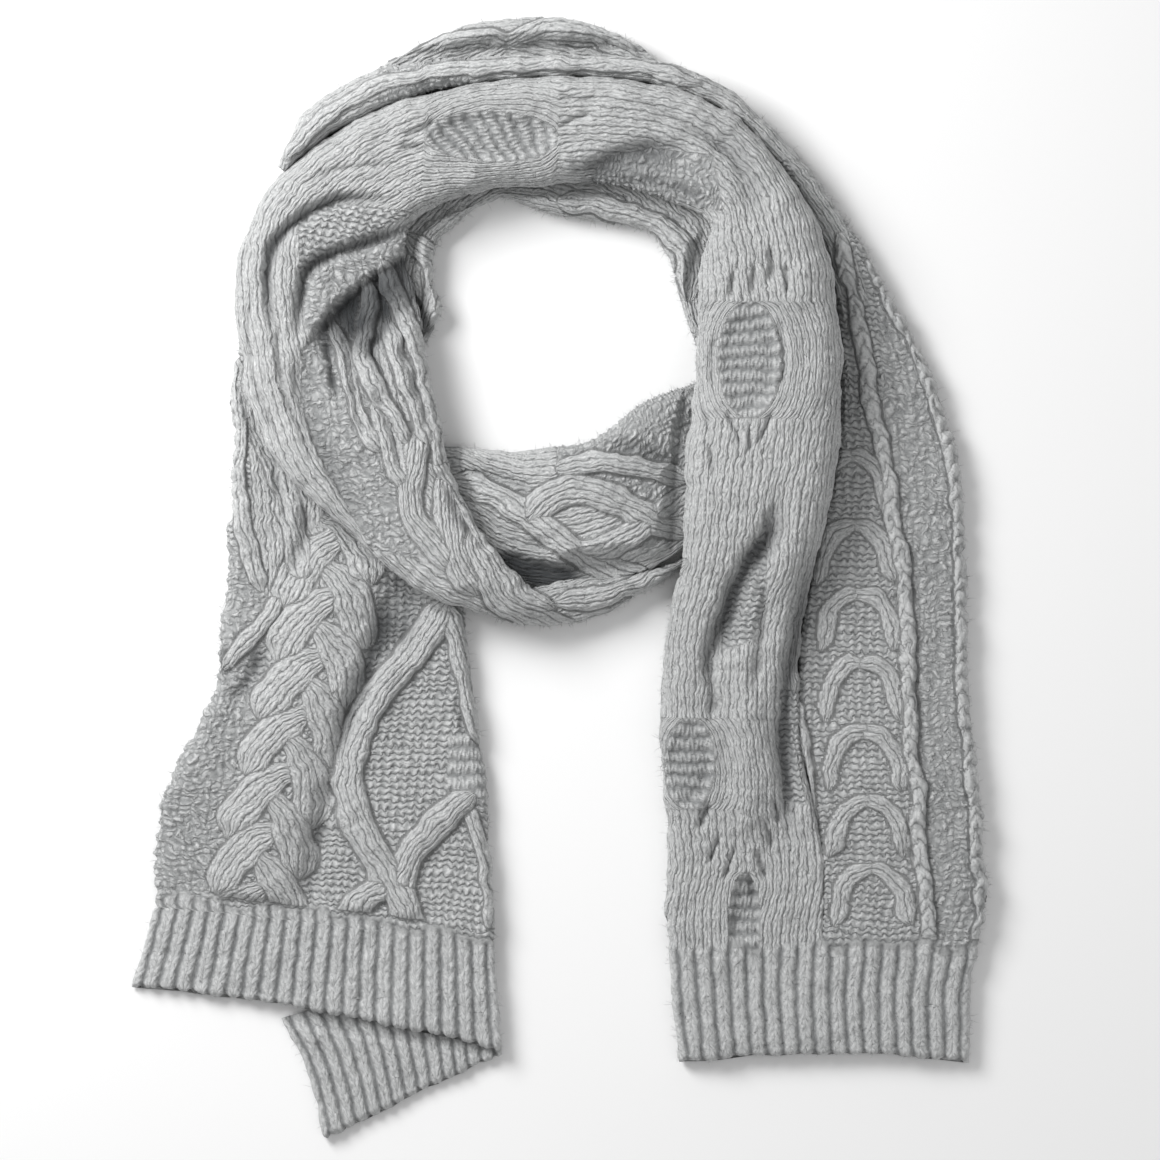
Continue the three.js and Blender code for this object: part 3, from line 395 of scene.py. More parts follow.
WRAP_STRANDS = [
    (5.2, 4.6, 2, [(366, 280), (370, 300), (366, 330), (362, 356), (376, 388), (396, 420),
                   (410, 446)]),
    (5.4, 5.0, 2, [(384, 262), (394, 290), (408, 322), (420, 352), (430, 390), (438, 430),
                   (446, 470)]),
    (4.8, 3.6, 2, [(388, 322), (396, 350), (408, 384), (420, 416), (430, 450)]),
    (4.4, 3.4, 2, [(332, 316), (342, 346), (350, 380), (362, 420), (380, 452)]),
    (6.5, 3.4, 3, [(380, 396), (390, 440), (407, 492)]),
    (7.6, 3.0, 4, [(420, 436), (411, 480), (414, 515), (432, 542), (452, 566)]),
    (7.6, 2.8, 4, [(448, 470), (449, 520), (456, 555), (476, 594)]),
    (7.6, 2.8, 4, [(470, 530), (490, 585), (510, 606), (545, 622), (580, 640)]),
    (6.0, 3.2, 3, [(440, 456), (464, 500), (490, 546), (520, 590), (556, 610)]),
    (6.0, 2.6, 3, [(556, 602), (600, 596), (640, 582), (684, 562)]),
]
EDGE_COLUMNS = [
    (4.4, 2.4, 1, [(838, 236), (858, 320), (872, 400), (887, 460), (893, 520), (903, 560),
                   (908, 620), (910, 700),
                   (913, 760), (919, 800), (922, 860), (928, 900), (930, 960)]),
    (4.2, 2.6, 2, [(788, 690), (800, 730), (806, 780), (812, 870)]),
    (4.2, 1.6, 1, [(868, 262), (910, 335), (936, 400), (951, 450), (959, 510), (962, 570),
                   (962, 625),
                   (965, 684), (969, 740), (975, 800), (979, 850), (982, 900), (978, 957)]),
]
TOP_STRANDS = [
    (4.0, 2.0, 2, [(288, 160), (330, 116), (400, 82), (480, 70), (560, 66), (640, 70), (700, 86)]),
]

# Low mounds under the cables: half width, rise, points.
LOWER_MOUNDS = [
    (32, 6.0, [(333, 530), (324, 627), (314, 680), (299, 727), (286, 777), (270, 821), (261, 868),
               (252, 930)]),
]
UPPER_MOUNDS = [
    (15, 5.0, [(742, 640), (748, 700), (750, 760), (746, 850)]),
    (13, 3.0, [(262, 440), (290, 490), (340, 560), (420, 610)]),
]

# Ovals of the upper wrap. Columns: centre x, y; half size across and along the strip; direction of
# the strip's across on the plan, as x, y.
OVALS = np.array([
    [492, 140, 25, 66, 0.03, -1],
    [748, 362, 31, 58, 1, 0],
    [690, 764, 25, 46, 1, 0],
    [745, 925, 16, 52, 1, 0],
])

# Panels of other patterns on each ground: the pattern and its corners on the plan.
LOWER_PANELS = [
    (Knit.STOCKINETTE, [(245, 330), (330, 330), (345, 600), (262, 600), (252, 520)]),
    (Knit.MOSS, [(218, 540), (262, 560), (270, 640), (215, 700)]),
    (Knit.MOSS, [(150, 690), (262, 690), (225, 800), (200, 930), (120, 930)]),
    (Knit.GARTER, [(448, 738), (510, 738), (510, 798), (448, 798)]),
    (Knit.STOCKINETTE, [(380, 0), (700, 0), (700, 70), (380, 75)]),
    (Knit.STOCKINETTE, [(390, 180), (730, 180), (730, 360), (650, 300), (440, 360), (390, 300)]),
    (Knit.STOCKINETTE, [(430, 430), (556, 425), (560, 500), (700, 500), (700, 600), (430, 600)]),
    (Knit.MOSS, [(558, 430), (700, 350), (710, 500), (560, 500)]),
]
UPPER_PANELS = [
    (Knit.MOSS, [(304, 352), (330, 322), (350, 372), (385, 415), (404, 480), (420, 560), (372, 550),
                 (322, 460), (302, 405)]),
    (Knit.PURL, [(300, 222), (330, 205), (414, 214), (440, 200), (372, 238), (330, 252),
                 (302, 275)]),
    (Knit.MOSS, [(330, 258), (372, 246), (448, 204), (432, 234), (380, 274), (322, 330), (306, 330),
                 (306, 285)]),
    (Knit.PURL, [(722, 612), (735, 575), (765, 520), (766, 600), (752, 640), (722, 650)]),
    (Knit.PURL, [(780, 690), (800, 690), (806, 805), (782, 800)]),
    (Knit.MOSS, [(600, 160), (650, 150), (712, 158), (722, 214), (650, 196), (590, 186)]),
]
OUTER_PANELS = [
    (Knit.MOSS, [(880, 250), (960, 300), (960, 560), (900, 560), (884, 470)]),
    (Knit.MOSS, [(906, 560), (962, 560), (980, 960), (934, 960), (916, 760)]),
    (Knit.STOCKINETTE, [(760, 100), (830, 180), (870, 300), (840, 300), (800, 190)]),
]
TOP_EDGE_PANELS = [(Knit.MOSS, [(380, 40), (470, 40), (470, 90), (380, 105)])]


def smooth(x: Array) -> Array:
    """Goes smoothly from 0 to 1 with x, as 3 x^2 - 2 x^3, and stays there on both sides."""
    c = np.clip(x, 0.0, 1.0)
    return c * c * (3 - 2 * c)


def arch(x: Array) -> Array:
    """A quarter circle over x from 0 to 1: sqrt(1 - (1 - x)^2)."""
    return np.sqrt(np.clip(1 - (1 - np.clip(x, 0, 1)) ** 2, 0, 1))


def plan(points: Array) -> Array:
    """Turns points of the plan, of shape (..., 2), into millimetres in the part's frame."""
    p = np.asarray(points, float)
    return np.stack(
        [(p[..., 0] - PLAN_CENTRE[0]) * PLAN_UNIT, (PLAN_CENTRE[1] - p[..., 1]) * PLAN_UNIT], -1
    )


def value_noise(x: Array, y: Array, seed: int) -> Array:
    """Smooth random values over a square grid of unit cells.

    Args:
        x: First coordinate, in cells.
        y: Second coordinate, in cells.
        seed: Which noise.

    Returns:
        Values from -1 to 1.
    """
    rng = np.random.default_rng(seed)
    lattice = rng.uniform(-1, 1, (256, 256))
    i, j = np.floor(x).astype(int), np.floor(y).astype(int)
    fx, fy = smooth(x - i), smooth(y - j)

    def at(a: Array, b: Array) -> Array:
        return lattice[a & 255, b & 255]

    low = at(i, j) * (1 - fx) + at(i + 1, j) * fx
    high = at(i, j + 1) * (1 - fx) + at(i + 1, j + 1) * fx
    return low * (1 - fy) + high * fy


def noises(x: Array, y: Array, layers: tuple[tuple[float, float, int], ...]) -> Array:
    """Adds up noises: size * noise(x / cell, y / cell) for each layer."""
    return sum(size * value_noise(x / cell, y / cell, seed) for size, cell, seed in layers)


def through(points: list[tuple[float, float]], steps: int = 6) -> Array:
    """Draws the cubic curve through a path's points, as points in millimetres."""
    rows = np.array(points, float)
    return plan(sections(rows, np.linspace(0, len(rows) - 1, steps * (len(rows) - 1) + 1)))


@dataclass(frozen=True)
class Nearest:
    """The nearest place on a curve, for each of many points.

    Attributes:
        distance: In millimetres.
        side: 1 on the left of the curve's direction and -1 on its right.
        share: How far along the curve, from 0 to 1.
        along: The same in millimetres, going on past the curve's ends.
        lateral: Distance to the left of the curve or of its ends' lines.
    """

    distance: Array
    side: Array
    share: Array
    along: Array
    lateral: Array


def nearest(line: Array, x: Array, y: Array) -> Nearest:
    """Finds the nearest place on a line of straight pieces.

    Args:
        line: Points of shape (k, 2).
        x: First coordinate of each point.
        y: Second coordinate of each point.

    Returns:
        The nearest place for each point.
    """
    start, step = line[:-1], np.diff(line, axis=0)
    length2 = (step**2).sum(1)
    dx, dy = x[..., None] - start[:, 0], y[..., None] - start[:, 1]
    free = (dx * step[:, 0] + dy * step[:, 1]) / length2
    t = np.clip(free, 0, 1)
    gap2 = (dx - t * step[:, 0]) ** 2 + (dy - t * step[:, 1]) ** 2
    best = gap2.argmin(-1)

    def pick(a: Array) -> Array:
        return np.take_along_axis(a, best[..., None], -1)[..., 0]

    turn = step[:, 0] * dy - step[:, 1] * dx
    lengths = np.sqrt(length2)
    at_end = (best == 0) | (best == len(step) - 1)
    before = np.concatenate([[0], np.cumsum(lengths)])[:-1]
    return Nearest(
        np.sqrt(pick(gap2)),
        np.where(pick(turn) < 0, -1.0, 1.0),
        (best + pick(t)) / len(step),
        before[best] + np.where(at_end, pick(free), pick(t)) * lengths[best],
        pick(turn) / lengths[best],
    )


def inside(corners: Array, x: Array, y: Array) -> Array:
    """Tells which points lie in an outline.

    Args:
        corners: Points of shape (k, 2).
        x: First coordinate of each point.
        y: Second coordinate of each point.

    Returns:
        True for each point inside, by the count of edges crossed to its right.
    """
    p, q = corners, np.roll(corners, -1, axis=0)
    crosses = np.zeros(x.shape, bool)
    for (px, py), (qx, qy) in zip(p, q):
        if py != qy:
            crosses ^= ((py > y) != (qy > y)) & (x < (qx - px) * (y - py) / (qy - py) + px)
    return crosses


class Stitches:
    """Heights of the knit patterns, from 0 to 1, at u stitches across and v stitches along.

    The formulas take arrays, for the mesh, and node values, for the finish.
    """

    @staticmethod
    def stockinette(u, v):
        """Columns of V stitches: leg(a) * (0.6 + 0.4 |sin(pi (v / 2 - 2 a))|^0.5).

        Args:
            u: Stitches across.
            v: Stitches along.

        Returns:
            Heights, where a is the distance to the middle of the column.
        """
        a = np.absolute(u - np.floor(u) - 0.5)
        leg = np.sqrt(np.maximum(0.0, 1.0 - ((a - 0.22) / 0.275) ** 2.0))
        lobe = np.absolute(np.sin((v * 0.5 - a * 2.0) * math.pi)) ** 0.5
        return leg * (lobe * 0.4 + 0.6)

    @staticmethod
    def purl(u, v):
        """Rows of bumps: (1 - |2 f - 1|^2.4) (0.76 + 0.24 cos(2 pi u)), f = frac(v + wave).

        Args:
            u: Stitches across.
            v: Stitches along.

        Returns:
            Heights, lower between two stitches of a row.
        """
        w = v + np.sin(u * TURN + 1.2) * 0.15
        row = 1.0 - np.absolute((w - np.floor(w)) * 2.0 - 1.0) ** 2.4
        return row * (np.cos(u * TURN) * 0.24 + 0.76)

    @staticmethod
    def moss(u, v):
        """A bump on each stitch, higher on every other one, like a chess board.

        Args:
            u: Stitches across.
            v: Stitches along.

        Returns:
            Heights: 0.22 + |w| (0.64 + 0.18 sign w) with w = sin(pi u) sin(pi v).
        """
        wave = np.sin(u * math.pi) * np.sin(v * math.pi)
        return np.absolute(wave) * (np.sign(wave) * 0.18 + 0.64) + 0.22

    @staticmethod
    def garter(u, v):
        """A ridge on every second row, waving with each stitch.

        Args:
            u: Stitches across.
            v: Stitches along.

        Returns:
            Heights: (0.2 + 0.8 (0.5 + 0.5 cos(pi v'))^0.7) (0.8 + 0.2 cos(4 pi u)).
        """
        ridge = np.cos((v + np.sin(u * TURN) * 0.16) * math.pi) * 0.5 + 0.5
        return (ridge**0.7 * 0.8 + 0.2) * (np.cos(u * (4 * math.pi)) * 0.2 + 0.8)

    @staticmethod
    def rib(u, v):
        """One column of V stitches on each ridge and a furrow between, on every second column.

        Args:
            u: Stitches across, with a ridge's middle at each even number.
            v: Stitches along.

        Returns:
            Heights: 0.6 ridge^0.4 + 0.4 leg (0.3 + 0.7 lobe), each from the distance x to the
            ridge's middle, as ridge = 0.5 + 0.5 cos(2 pi x), leg an arch over the V's leg and
            lobe = |sin(pi (0.6 v - 3 x))|^0.6.
        """
        x = np.absolute(u / 2.0 - np.floor(u / 2.0 + 0.5))
        ridge = np.cos(x * TURN) * 0.5 + 0.5
        leg = np.sqrt(np.maximum(0.0, 1.0 - ((x / 0.4 - 0.5) / 0.5) ** 2.0))
        lobe = np.absolute(np.sin((v * 0.6 - x * 3.0) * math.pi)) ** 0.6
        return ridge**0.4 * 0.6 + leg * (lobe * 0.7 + 0.3) * 0.4

    @staticmethod
    def chain(u, v):
        """One column of tall V stitches.

        Args:
            u: Across, from 0 to 1.
            v: Stitches along.

        Returns:
            Heights: leg(a) (0.2 + 0.8 |sin(pi (v - 1.7 a))|^0.5), a the distance to the middle.
        """
        a = np.absolute(u - 0.5)
        leg = np.sqrt(np.maximum(0.0, 1.0 - ((a - 0.2) / 0.3) ** 2.0))
        return leg * (np.absolute(np.sin((v - a * 1.7) * math.pi)) ** 0.5 * 0.8 + 0.2)


PATTERNS = {
    Knit.STOCKINETTE: (Stitches.stockinette, 1.1),
    Knit.PURL: (Stitches.purl, 0.9),
    Knit.MOSS: (Stitches.moss, 1.5),
    Knit.GARTER: (Stitches.garter, 1.35),
    Knit.RIB: (Stitches.rib, 1.7),
    Knit.CHAIN: (Stitches.chain, 1.8),
}


@dataclass(frozen=True)
class Strand:
    """A raised strand of a cable.

    Attributes:
        line: Its middle, points of shape (k, 2) in millimetres.
        half: Half its width.
        rise: Its height over the ground.
        columns: Columns of stitches across it.
        fade: Share of its length over which it rises at its start.
    """

    line: Array
    half: float
    rise: float
    columns: int = 4
    fade: float = 0.0


def strands_of(rows: list[tuple]) -> list[Strand]:
    """Reads a table of strands: half width, rise, columns and points of each."""
    return [Strand(through(points), half, rise, columns) for half, rise, columns, points in rows]


@dataclass(frozen=True)
class Wheat:
    """A plaited cable whose strands leave its axis to both sides in turn and sweep back.

    Attributes:
        axis: Points on the plan, from the top down.
        pitch: Between two strands of one side, mm.
        reach: From the axis to a strand's end.
        sweep: Along the axis, from a strand's start to its end.
        half: Half a strand's width.
        rise: Its height.
    """

    axis: tuple[tuple[float, float], ...] = (
        (336, 520), (331, 560), (324, 627), (314, 680), (299, 727), (286, 777), (270, 821),
        (261, 868), (254, 915), (250, 960),
    )
    pitch: float = 30
    reach: float = 20
    sweep: float = 30
    half: float = 9.8
    rise: float = 2.1

    def strands(self) -> list[Strand]:
        """Lays the strands out.

        Returns:
            The strands, each a curve from the axis out to a side.
        """
        line = through(list(self.axis), 12)
        lengths = np.concatenate([[0], np.cumsum(np.linalg.norm(np.diff(line, axis=0), axis=1))])
        slopes = [np.gradient(line[:, i], lengths) for i in range(2)]
        made = []
        for k, at in enumerate(np.arange(0, lengths[-1] - self.sweep, self.pitch / 2)):
            side = 1 if k % 2 == 0 else -1
            places = at + np.array([-0.25, 0.1, 1.0]) * self.sweep
            out = np.array([-0.25, 0.8, 1.0]) * self.reach * side
            x, y = (np.interp(places, lengths, line[:, i]) for i in range(2))
            gx, gy = (np.interp(places, lengths, slope) for slope in slopes)
            a, c, b = np.stack([x - gy * out, y + gx * out], -1)
            s = np.linspace(0, 1, 11)[:, None]
            curve = (1 - s) ** 2 * a + 2 * s * (1 - s) * c + s * s * b
            made.append(Strand(curve, self.half, self.rise, 4, 0.45))
        return made


@dataclass(frozen=True)
class Arches:
    """Horseshoes on the right tail: pairs of legs that part from a crown.

    Attributes:
        first: Height of the first crown on the plan.
        last: Where they stop.
        pitch: Between two crowns.
        crown: Where the first crown is, across.
        lean: How far the crowns move across for each step down.
        spread: From the crown to a leg's foot, across.
        drop: The same, down.
        half: Half a leg's width, mm.
        rise: Its height, mm.
    """

    first: float = 452
    last: float = 910
    pitch: float = 69
    crown: float = 852
    lean: float = 0.05
    spread: float = 37
    drop: float = 60
    half: float = 5.0
    rise: float = 1.3

    def strands(self) -> list[Strand]:
        """Lays the legs out.

        Returns:
            Two strands for each crown.
        """
        made = []
        for y in np.arange(self.first, self.last, self.pitch):
            x = self.crown + self.lean * (y - self.first)
            for side in (-1, 1):
                shares = ((-0.12, 0.02), (0.4, 0.12), (0.82, 0.45), (1.0, 1.0))
                points = [(x + side * self.spread * a, y + self.drop * b) for a, b in shares]
                made.append(Strand(through(points), self.half, self.rise, 2, 0.1))
        return made


@dataclass
class Detail:
    """What lies on a group of stretches.

    Attributes:
        folds: Table of folds.
        strands: Raised strands.
        mounds: Table of low mounds.
        ovals: Table of ovals.
        panels: Patterns and their corners on the plan.
        ground: The pattern everywhere else.
    """

    folds: list[tuple] = field(default_factory=list)
    strands: list[Strand] = field(default_factory=list)
    mounds: list[tuple] = field(default_factory=list)
    ovals: Array = field(default_factory=lambda: np.zeros((0, 6)))
    panels: list[tuple[Knit, list[tuple[float, float]]]] = field(default_factory=list)
    ground: Knit = Knit.STOCKINETTE

    @staticmethod
    def along_paths(rows: list[tuple], reaches: list[float], fade: float, x: Array, y: Array):
        """Measures the distance to each path of a table, at the points in its reach.

        Args:
            rows: Sizes and points of each path.
            reaches: How far from each path to measure, mm.
            fade: Share of its length over which it fades at each end.
            x: First coordinate, mm.
            y: Second coordinate, mm.

        Yields:
            The row, which points are in reach, the nearest places and how much they have faded.
        """
        for row, reach in zip(rows, reaches):
            line = through(row[-1])
            near = box_mask(line, reach, x, y)
            if near.any():
                n = nearest(line, x[near], y[near])
                yield row, near, n, smooth(n.share / fade) * smooth((1 - n.share) / fade)

    def folded(self, x: Array, y: Array) -> Array:
        """Depth of the folds and ovals.

        Args:
            x: First coordinate, mm.
            y: Second coordinate, mm.

        Returns:
            For each fold depth * fade * exp(-(distance / width)^2), summed, and the ovals' depth.
        """
        depth = np.zeros(x.shape)
        reaches = [3 * max(row[1:3]) for row in self.folds]
        for row, near, n, fade in self.along_paths(self.folds, reaches, FOLD_FADE, x, y):
            deep, left, right, _ = row
            width = np.where(n.side > 0, left, right)
            depth[near] += deep * fade * np.exp(-((n.distance / width) ** 2))
        for row in self.ovals:
            across, along = oval_place(row, x, y)
            depth += OVAL_DEPTH * smooth((1 - np.hypot(across, along)) / OVAL_RIM)
        return depth

    def raised(self, x: Array, y: Array) -> tuple[Array, Array, Array, Array, Array]:
        """Rise of the strands, and the stitches that run along them.

        Args:
            x: First coordinate, mm.
            y: Second coordinate, mm.

        Returns:
            The rise; stitches across and along on the highest strand; 1 on a strand and 2 on a
            chain; and a factor from 0 at its foot to 1, which sinks the stitches and paints shade
            at the foot.
        """
        rise, u, v, share = (np.zeros(x.shape) for _ in range(4))
        foot = np.ones(x.shape)
        x = x + noises(x, y, WAVERS[0])
        y = y + noises(x, y, WAVERS[1])
        for strand in self.strands:
            near = box_mask(strand.line, strand.half, x, y)
            if not near.any():
                continue
            n = nearest(strand.line, x[near], y[near])
            size = np.linalg.norm(np.diff(strand.line, axis=0), axis=1).sum()
            ends = smooth(n.along / (strand.fade * size + STRAND_TAPER) + BLUNTNESS)
            ends = ends * smooth((size - n.along) / STRAND_TAPER + BLUNTNESS)
            half = strand.half * np.maximum(ends, 0.01) ** STRAND_ROUND
            s = np.clip(n.distance / half, 0, 1)
            high = strand.rise * np.where(s < 1, (1 - s**2) ** STRAND_ROUND, 0) * ends
            higher = high > rise[near]
            across = (n.lateral / half / 2 + 0.5) * strand.columns
            # How far a strand's foot sinks and gets painted shade, by the strand's rise.
            dark = np.minimum(1, strand.rise / FULL_RISE)
            course, kind = (COURSE, 1.0) if strand.columns > 1 else (CHAIN_COURSE, 2.0)
            for target, value in (
                (rise, high),
                (u, across),
                (v, n.along / course),
                (share, (s < 1) * kind),
                (foot, 1 - (1 - smooth((1 - s) / FOOT)) * ends * dark),
            ):
                kept = target[near]
                kept[higher] = value[higher]
                target[near] = kept
        reaches = [row[0] for row in self.mounds]
        for row, near, n, fade in self.along_paths(self.mounds, reaches, MOUND_FADE, x, y):
            rise[near] += row[1] * fade * smooth(1 - n.distance / row[0])
        return rise, u, v, share, foot

    def kinds(self, x: Array, y: Array) -> Array:
        """The pattern of the ground, the panels and the ovals at each point.

        Args:
            x: First coordinate, mm.
            y: Second coordinate, mm.

        Returns:
            Values of Knit.
        """
        kinds = np.full(x.shape, self.ground.value)
        for knit, corners in self.panels:
            kinds[inside(plan(np.array(corners)), x, y)] = knit.value
        for row in self.ovals:
            across, along = oval_place(row, x, y)
            kinds[np.hypot(across, along) < 1.0] = Knit.GARTER.value
        return kinds


def box_mask(line: Array, reach: float, x: Array, y: Array) -> Array:
    """Points inside a curve's box, grown by the reach in mm: those worth measuring."""
    lo, hi = line.min(0) - reach, line.max(0) + reach
    return (x > lo[0]) & (x < hi[0]) & (y > lo[1]) & (y < hi[1])


def oval_place(row: Array, x: Array, y: Array) -> tuple[Array, Array]:
    """Where points lie in an oval.

    Args:
        row: A row of the table of ovals.
        x: First coordinate, mm.
        y: Second coordinate, mm.

    Returns:
        Across and along, as shares of the half sizes.
    """
    centre = plan(row[:2])
    direction = np.array([row[4], -row[5]]) / np.hypot(row[4], row[5])
    dx, dy = x - centre[0], y - centre[1]
    across = (dx * direction[0] + dy * direction[1]) / (row[2] * PLAN_UNIT)
    along = (-dx * direction[1] + dy * direction[0]) / (row[3] * PLAN_UNIT)
    return across, along


def sections(rows: Array, places: Array) -> Array:
    """Sections between the rows of a table, on the cubic curve through them.

    Args:
        rows: Section table.
        places: Where, counted in rows.

    Returns:
        A row for each place, (2t^3-3t^2+1) p1 + (t^3-2t^2+t) m1 + (3t^2-2t^3) p2 + (t^3-t^2) m2.
    """
    last = len(rows) - 1
    i = np.minimum(last - 1, np.floor(places)).astype(int)
    t = (places - i)[:, None]
    before, after = np.maximum(0, i - 1), np.minimum(last, i + 2)
    m1 = (rows[i + 1] - rows[before]) / (i + 1 - before)[:, None]
    m2 = (rows[after] - rows[i]) / (after - i)[:, None]
    return (
        (2 * t**3 - 3 * t**2 + 1) * rows[i]
        + (t**3 - 2 * t**2 + t) * m1
        + (3 * t**2 - 2 * t**3) * rows[i + 1]
        + (t**3 - t**2) * m2
    )


class Ceiling:
    """The height that the upper stretches leave free, read from a coarse grid."""

    def __init__(self, tables: list[Array], base: float, step: float = 2.0) -> None:
        """Measures the distance to the stretches' outlines over the whole plan.

        Args:
            tables: Section tables of the stretches above.
            base: Height under them, mm.
            step: Grid spacing, mm.
        """
        self.step, self.base = step, base
        self.low = plan(np.array([100.0, 1160.0]))
        high = plan(np.array([1010.0, 0.0]))
        nx, ny = (np.ceil((high - self.low) / step).astype(int) + 1).tolist()
        x, y = np.meshgrid(
            self.low[0] + step * np.arange(nx), self.low[1] + step * np.arange(ny), indexing="ij"
        )
        best = np.full(x.shape, 1e3)
        for rows in tables:
            s = sections(rows, np.linspace(0, len(rows) - 1, 6 * len(rows)))
            ring = plan(np.concatenate([s[:, 0:2], s[::-1, 2:4]]))
            gap = nearest(np.concatenate([ring, ring[:1]]), x, y).distance
            best = np.minimum(best, np.where(inside(ring, x, y), 0, gap))
        self.gaps = best

    def at(self, x: Array, y: Array) -> Array:
        """Reads the ceiling.

        Args:
            x: First coordinate, mm.
            y: Second coordinate, mm.

        Returns:
            base + slope * max(0, distance - margin), mm.
        """
        fx = np.clip((x - self.low[0]) / self.step, 0, self.gaps.shape[0] - 1.001)
        fy = np.clip((y - self.low[1]) / self.step, 0, self.gaps.shape[1] - 1.001)
        i, j = np.floor(fx).astype(int), np.floor(fy).astype(int)
        a, b = fx - i, fy - j
        g = self.gaps
        gap = (g[i, j] * (1 - a) + g[i + 1, j] * a) * (1 - b)
        gap += (g[i, j + 1] * (1 - a) + g[i + 1, j + 1] * a) * b
        return self.base + PRESS_SLOPE * np.maximum(0, gap - PRESS_MARGIN)


@dataclass
class Stretch:
    """One stretch of the strip, as a closed ring of points for each step along it.

    Attributes:
        name: Of the piece and of the solid that it stands for.
        rows: Section table.
        detail: What lies on it.
        inner: How its inner side looks.
        outer: How its outer side looks.
        start: Length of the strip before it, mm.
        step: Spacing of its points, mm.
        ceiling: What presses it down.
        hem: Which end is a hem, "start", "end" or "".
        ribs: Ridges of the ribbing across the hem.
        rib_span: Where the stretch's two edges lie across the hem, as shares.
        to_ribbing: Which end meets the ribbing, "start", "end" or "".
        columns: Steps across, or 0 where its own width decides.
        slot: Material slot of the record; not used.
        hold: How it lies; not used.
        rests_on: What it lies on.
    """

    name: str
    rows: Array
    detail: Detail
    inner: Side = Side.FOLD
    outer: Side = Side.FOLD
    start: float = 0.0
    step: float = 0.8
    ceiling: Ceiling | None = None
    hem: str = ""
    ribs: int = 22
    rib_span: tuple[float, float] = (0.0, 1.0)
    to_ribbing: str = ""
    columns: int = 0
    slot: str = "wool_knit"
    hold: Hold = Hold.FOLDED
    rests_on: tuple[str, ...] = ()

    BASE_COLUMNS = 6
    SIDE_SAMPLES = 24
    TOP_SAMPLES = 260

    def length(self) -> float:
        """Length of the stretch along its middle, mm."""
        return float(self.stations()[2][-1])

    def stations(self) -> tuple[Array, Array, Array]:
        """Places sections at even steps along the stretch.

        Returns:
            The sections, their travel directions and their distances from the start, mm.
        """
        fine = np.linspace(0, len(self.rows) - 1, 60 * (len(self.rows) - 1) + 1)
        s = sections(self.rows, fine)
        middle = plan((s[:, 0:2] + s[:, 2:4]) / 2)
        lengths = np.concatenate([[0], np.cumsum(np.linalg.norm(np.diff(middle, axis=0), axis=1))])
        count = max(8, round(lengths[-1] / self.step))
        along = np.linspace(0, lengths[-1], count + 1)
        places = np.interp(along, lengths, fine)
        line = np.stack([np.interp(along, lengths, middle[:, i]) for i in range(2)], -1)
        travel = np.gradient(line, axis=0)
        travel /= np.linalg.norm(travel, axis=1, keepdims=True)
        return sections(self.rows, places), travel, along

    @staticmethod
    def side_shape(side: Side, q: Array) -> Array:
        """How far the side is set in below the widest line.

        Args:
            side: Its look.
            q: Height as a share of the widest line's, from 0 at the bottom.

        Returns:
            Millimetres inwards: foot (1 - q)^2.5, and on an open side the groove between layers,
            depth exp(-((q - place) / width)^2).
        """
        foot = FOOT_IN * (1 - q) ** 2.5
        depth, place, width = GROOVE
        groove = depth * np.exp(-(((q - place) / width) ** 2))
        return {Side.OPEN: foot + groove, Side.CREASE: 0 * q, Side.FOLD: foot}[side]

    @staticmethod
    def heights(s: Array, t: Array) -> tuple[Array, Array, Array]:
        """Mixes the sections' heights between their two edges.

        Args:
            s: Sections.
            t: Share across.

        Returns:
            Lift, thickness and height of the widest line over the underside, mm.
        """
        lift = np.maximum(0, s[:, 4:5] * (1 - t) + s[:, 5:6] * t)
        high = s[:, 6:7] * (1 - t) + s[:, 7:8] * t
        return lift, high, EDGE_SHARE * high

    def rounding(self, s: Array, t: Array, width: Array, along: Array) -> Array:
        """The share of the cloth above the widest line.

        Args:
            s: Sections.
            t: Share across.
            width: Width of each section, mm.
            along: Distance of each section from the start, mm.

        Returns:
            Product of the arches at the edges and at a hem's end.
        """
        sides = arch(t * width / s[:, 8:9]) * arch((1 - t) * width / s[:, 9:10])
        if self.hem:
            gap = along if self.hem == "start" else along[-1] - along
            sides = sides * arch(gap / HEM_ROUND)[:, None]
        return sides

    def build(self) -> "Surface":
        """Works the surface out.

        Returns:
            Its points and what the stitches need to know.
        """
        s, travel, along = self.stations()
        a, b = plan(s[:, 0:2]), plan(s[:, 2:4])
        chord = b - a
        width = np.linalg.norm(chord, axis=1, keepdims=True)
        turn = (self.start + along)[:, None]

        # The selvedge waves with the chain that runs along it.
        wave = np.abs(np.sin(np.pi * turn / CHAIN_COURSE)) + value_noise(turn / 13, 0 * turn, 13)
        for side, sign in ((self.inner, -1), (self.outer, 1)):
            if side is Side.OPEN:
                shift = sign * (wave - 0.6) * SELVEDGE * chord / width
                a, b = (a, b + shift) if sign > 0 else (a + shift, b)
        chord = b - a
        width = np.linalg.norm(chord, axis=1, keepdims=True)

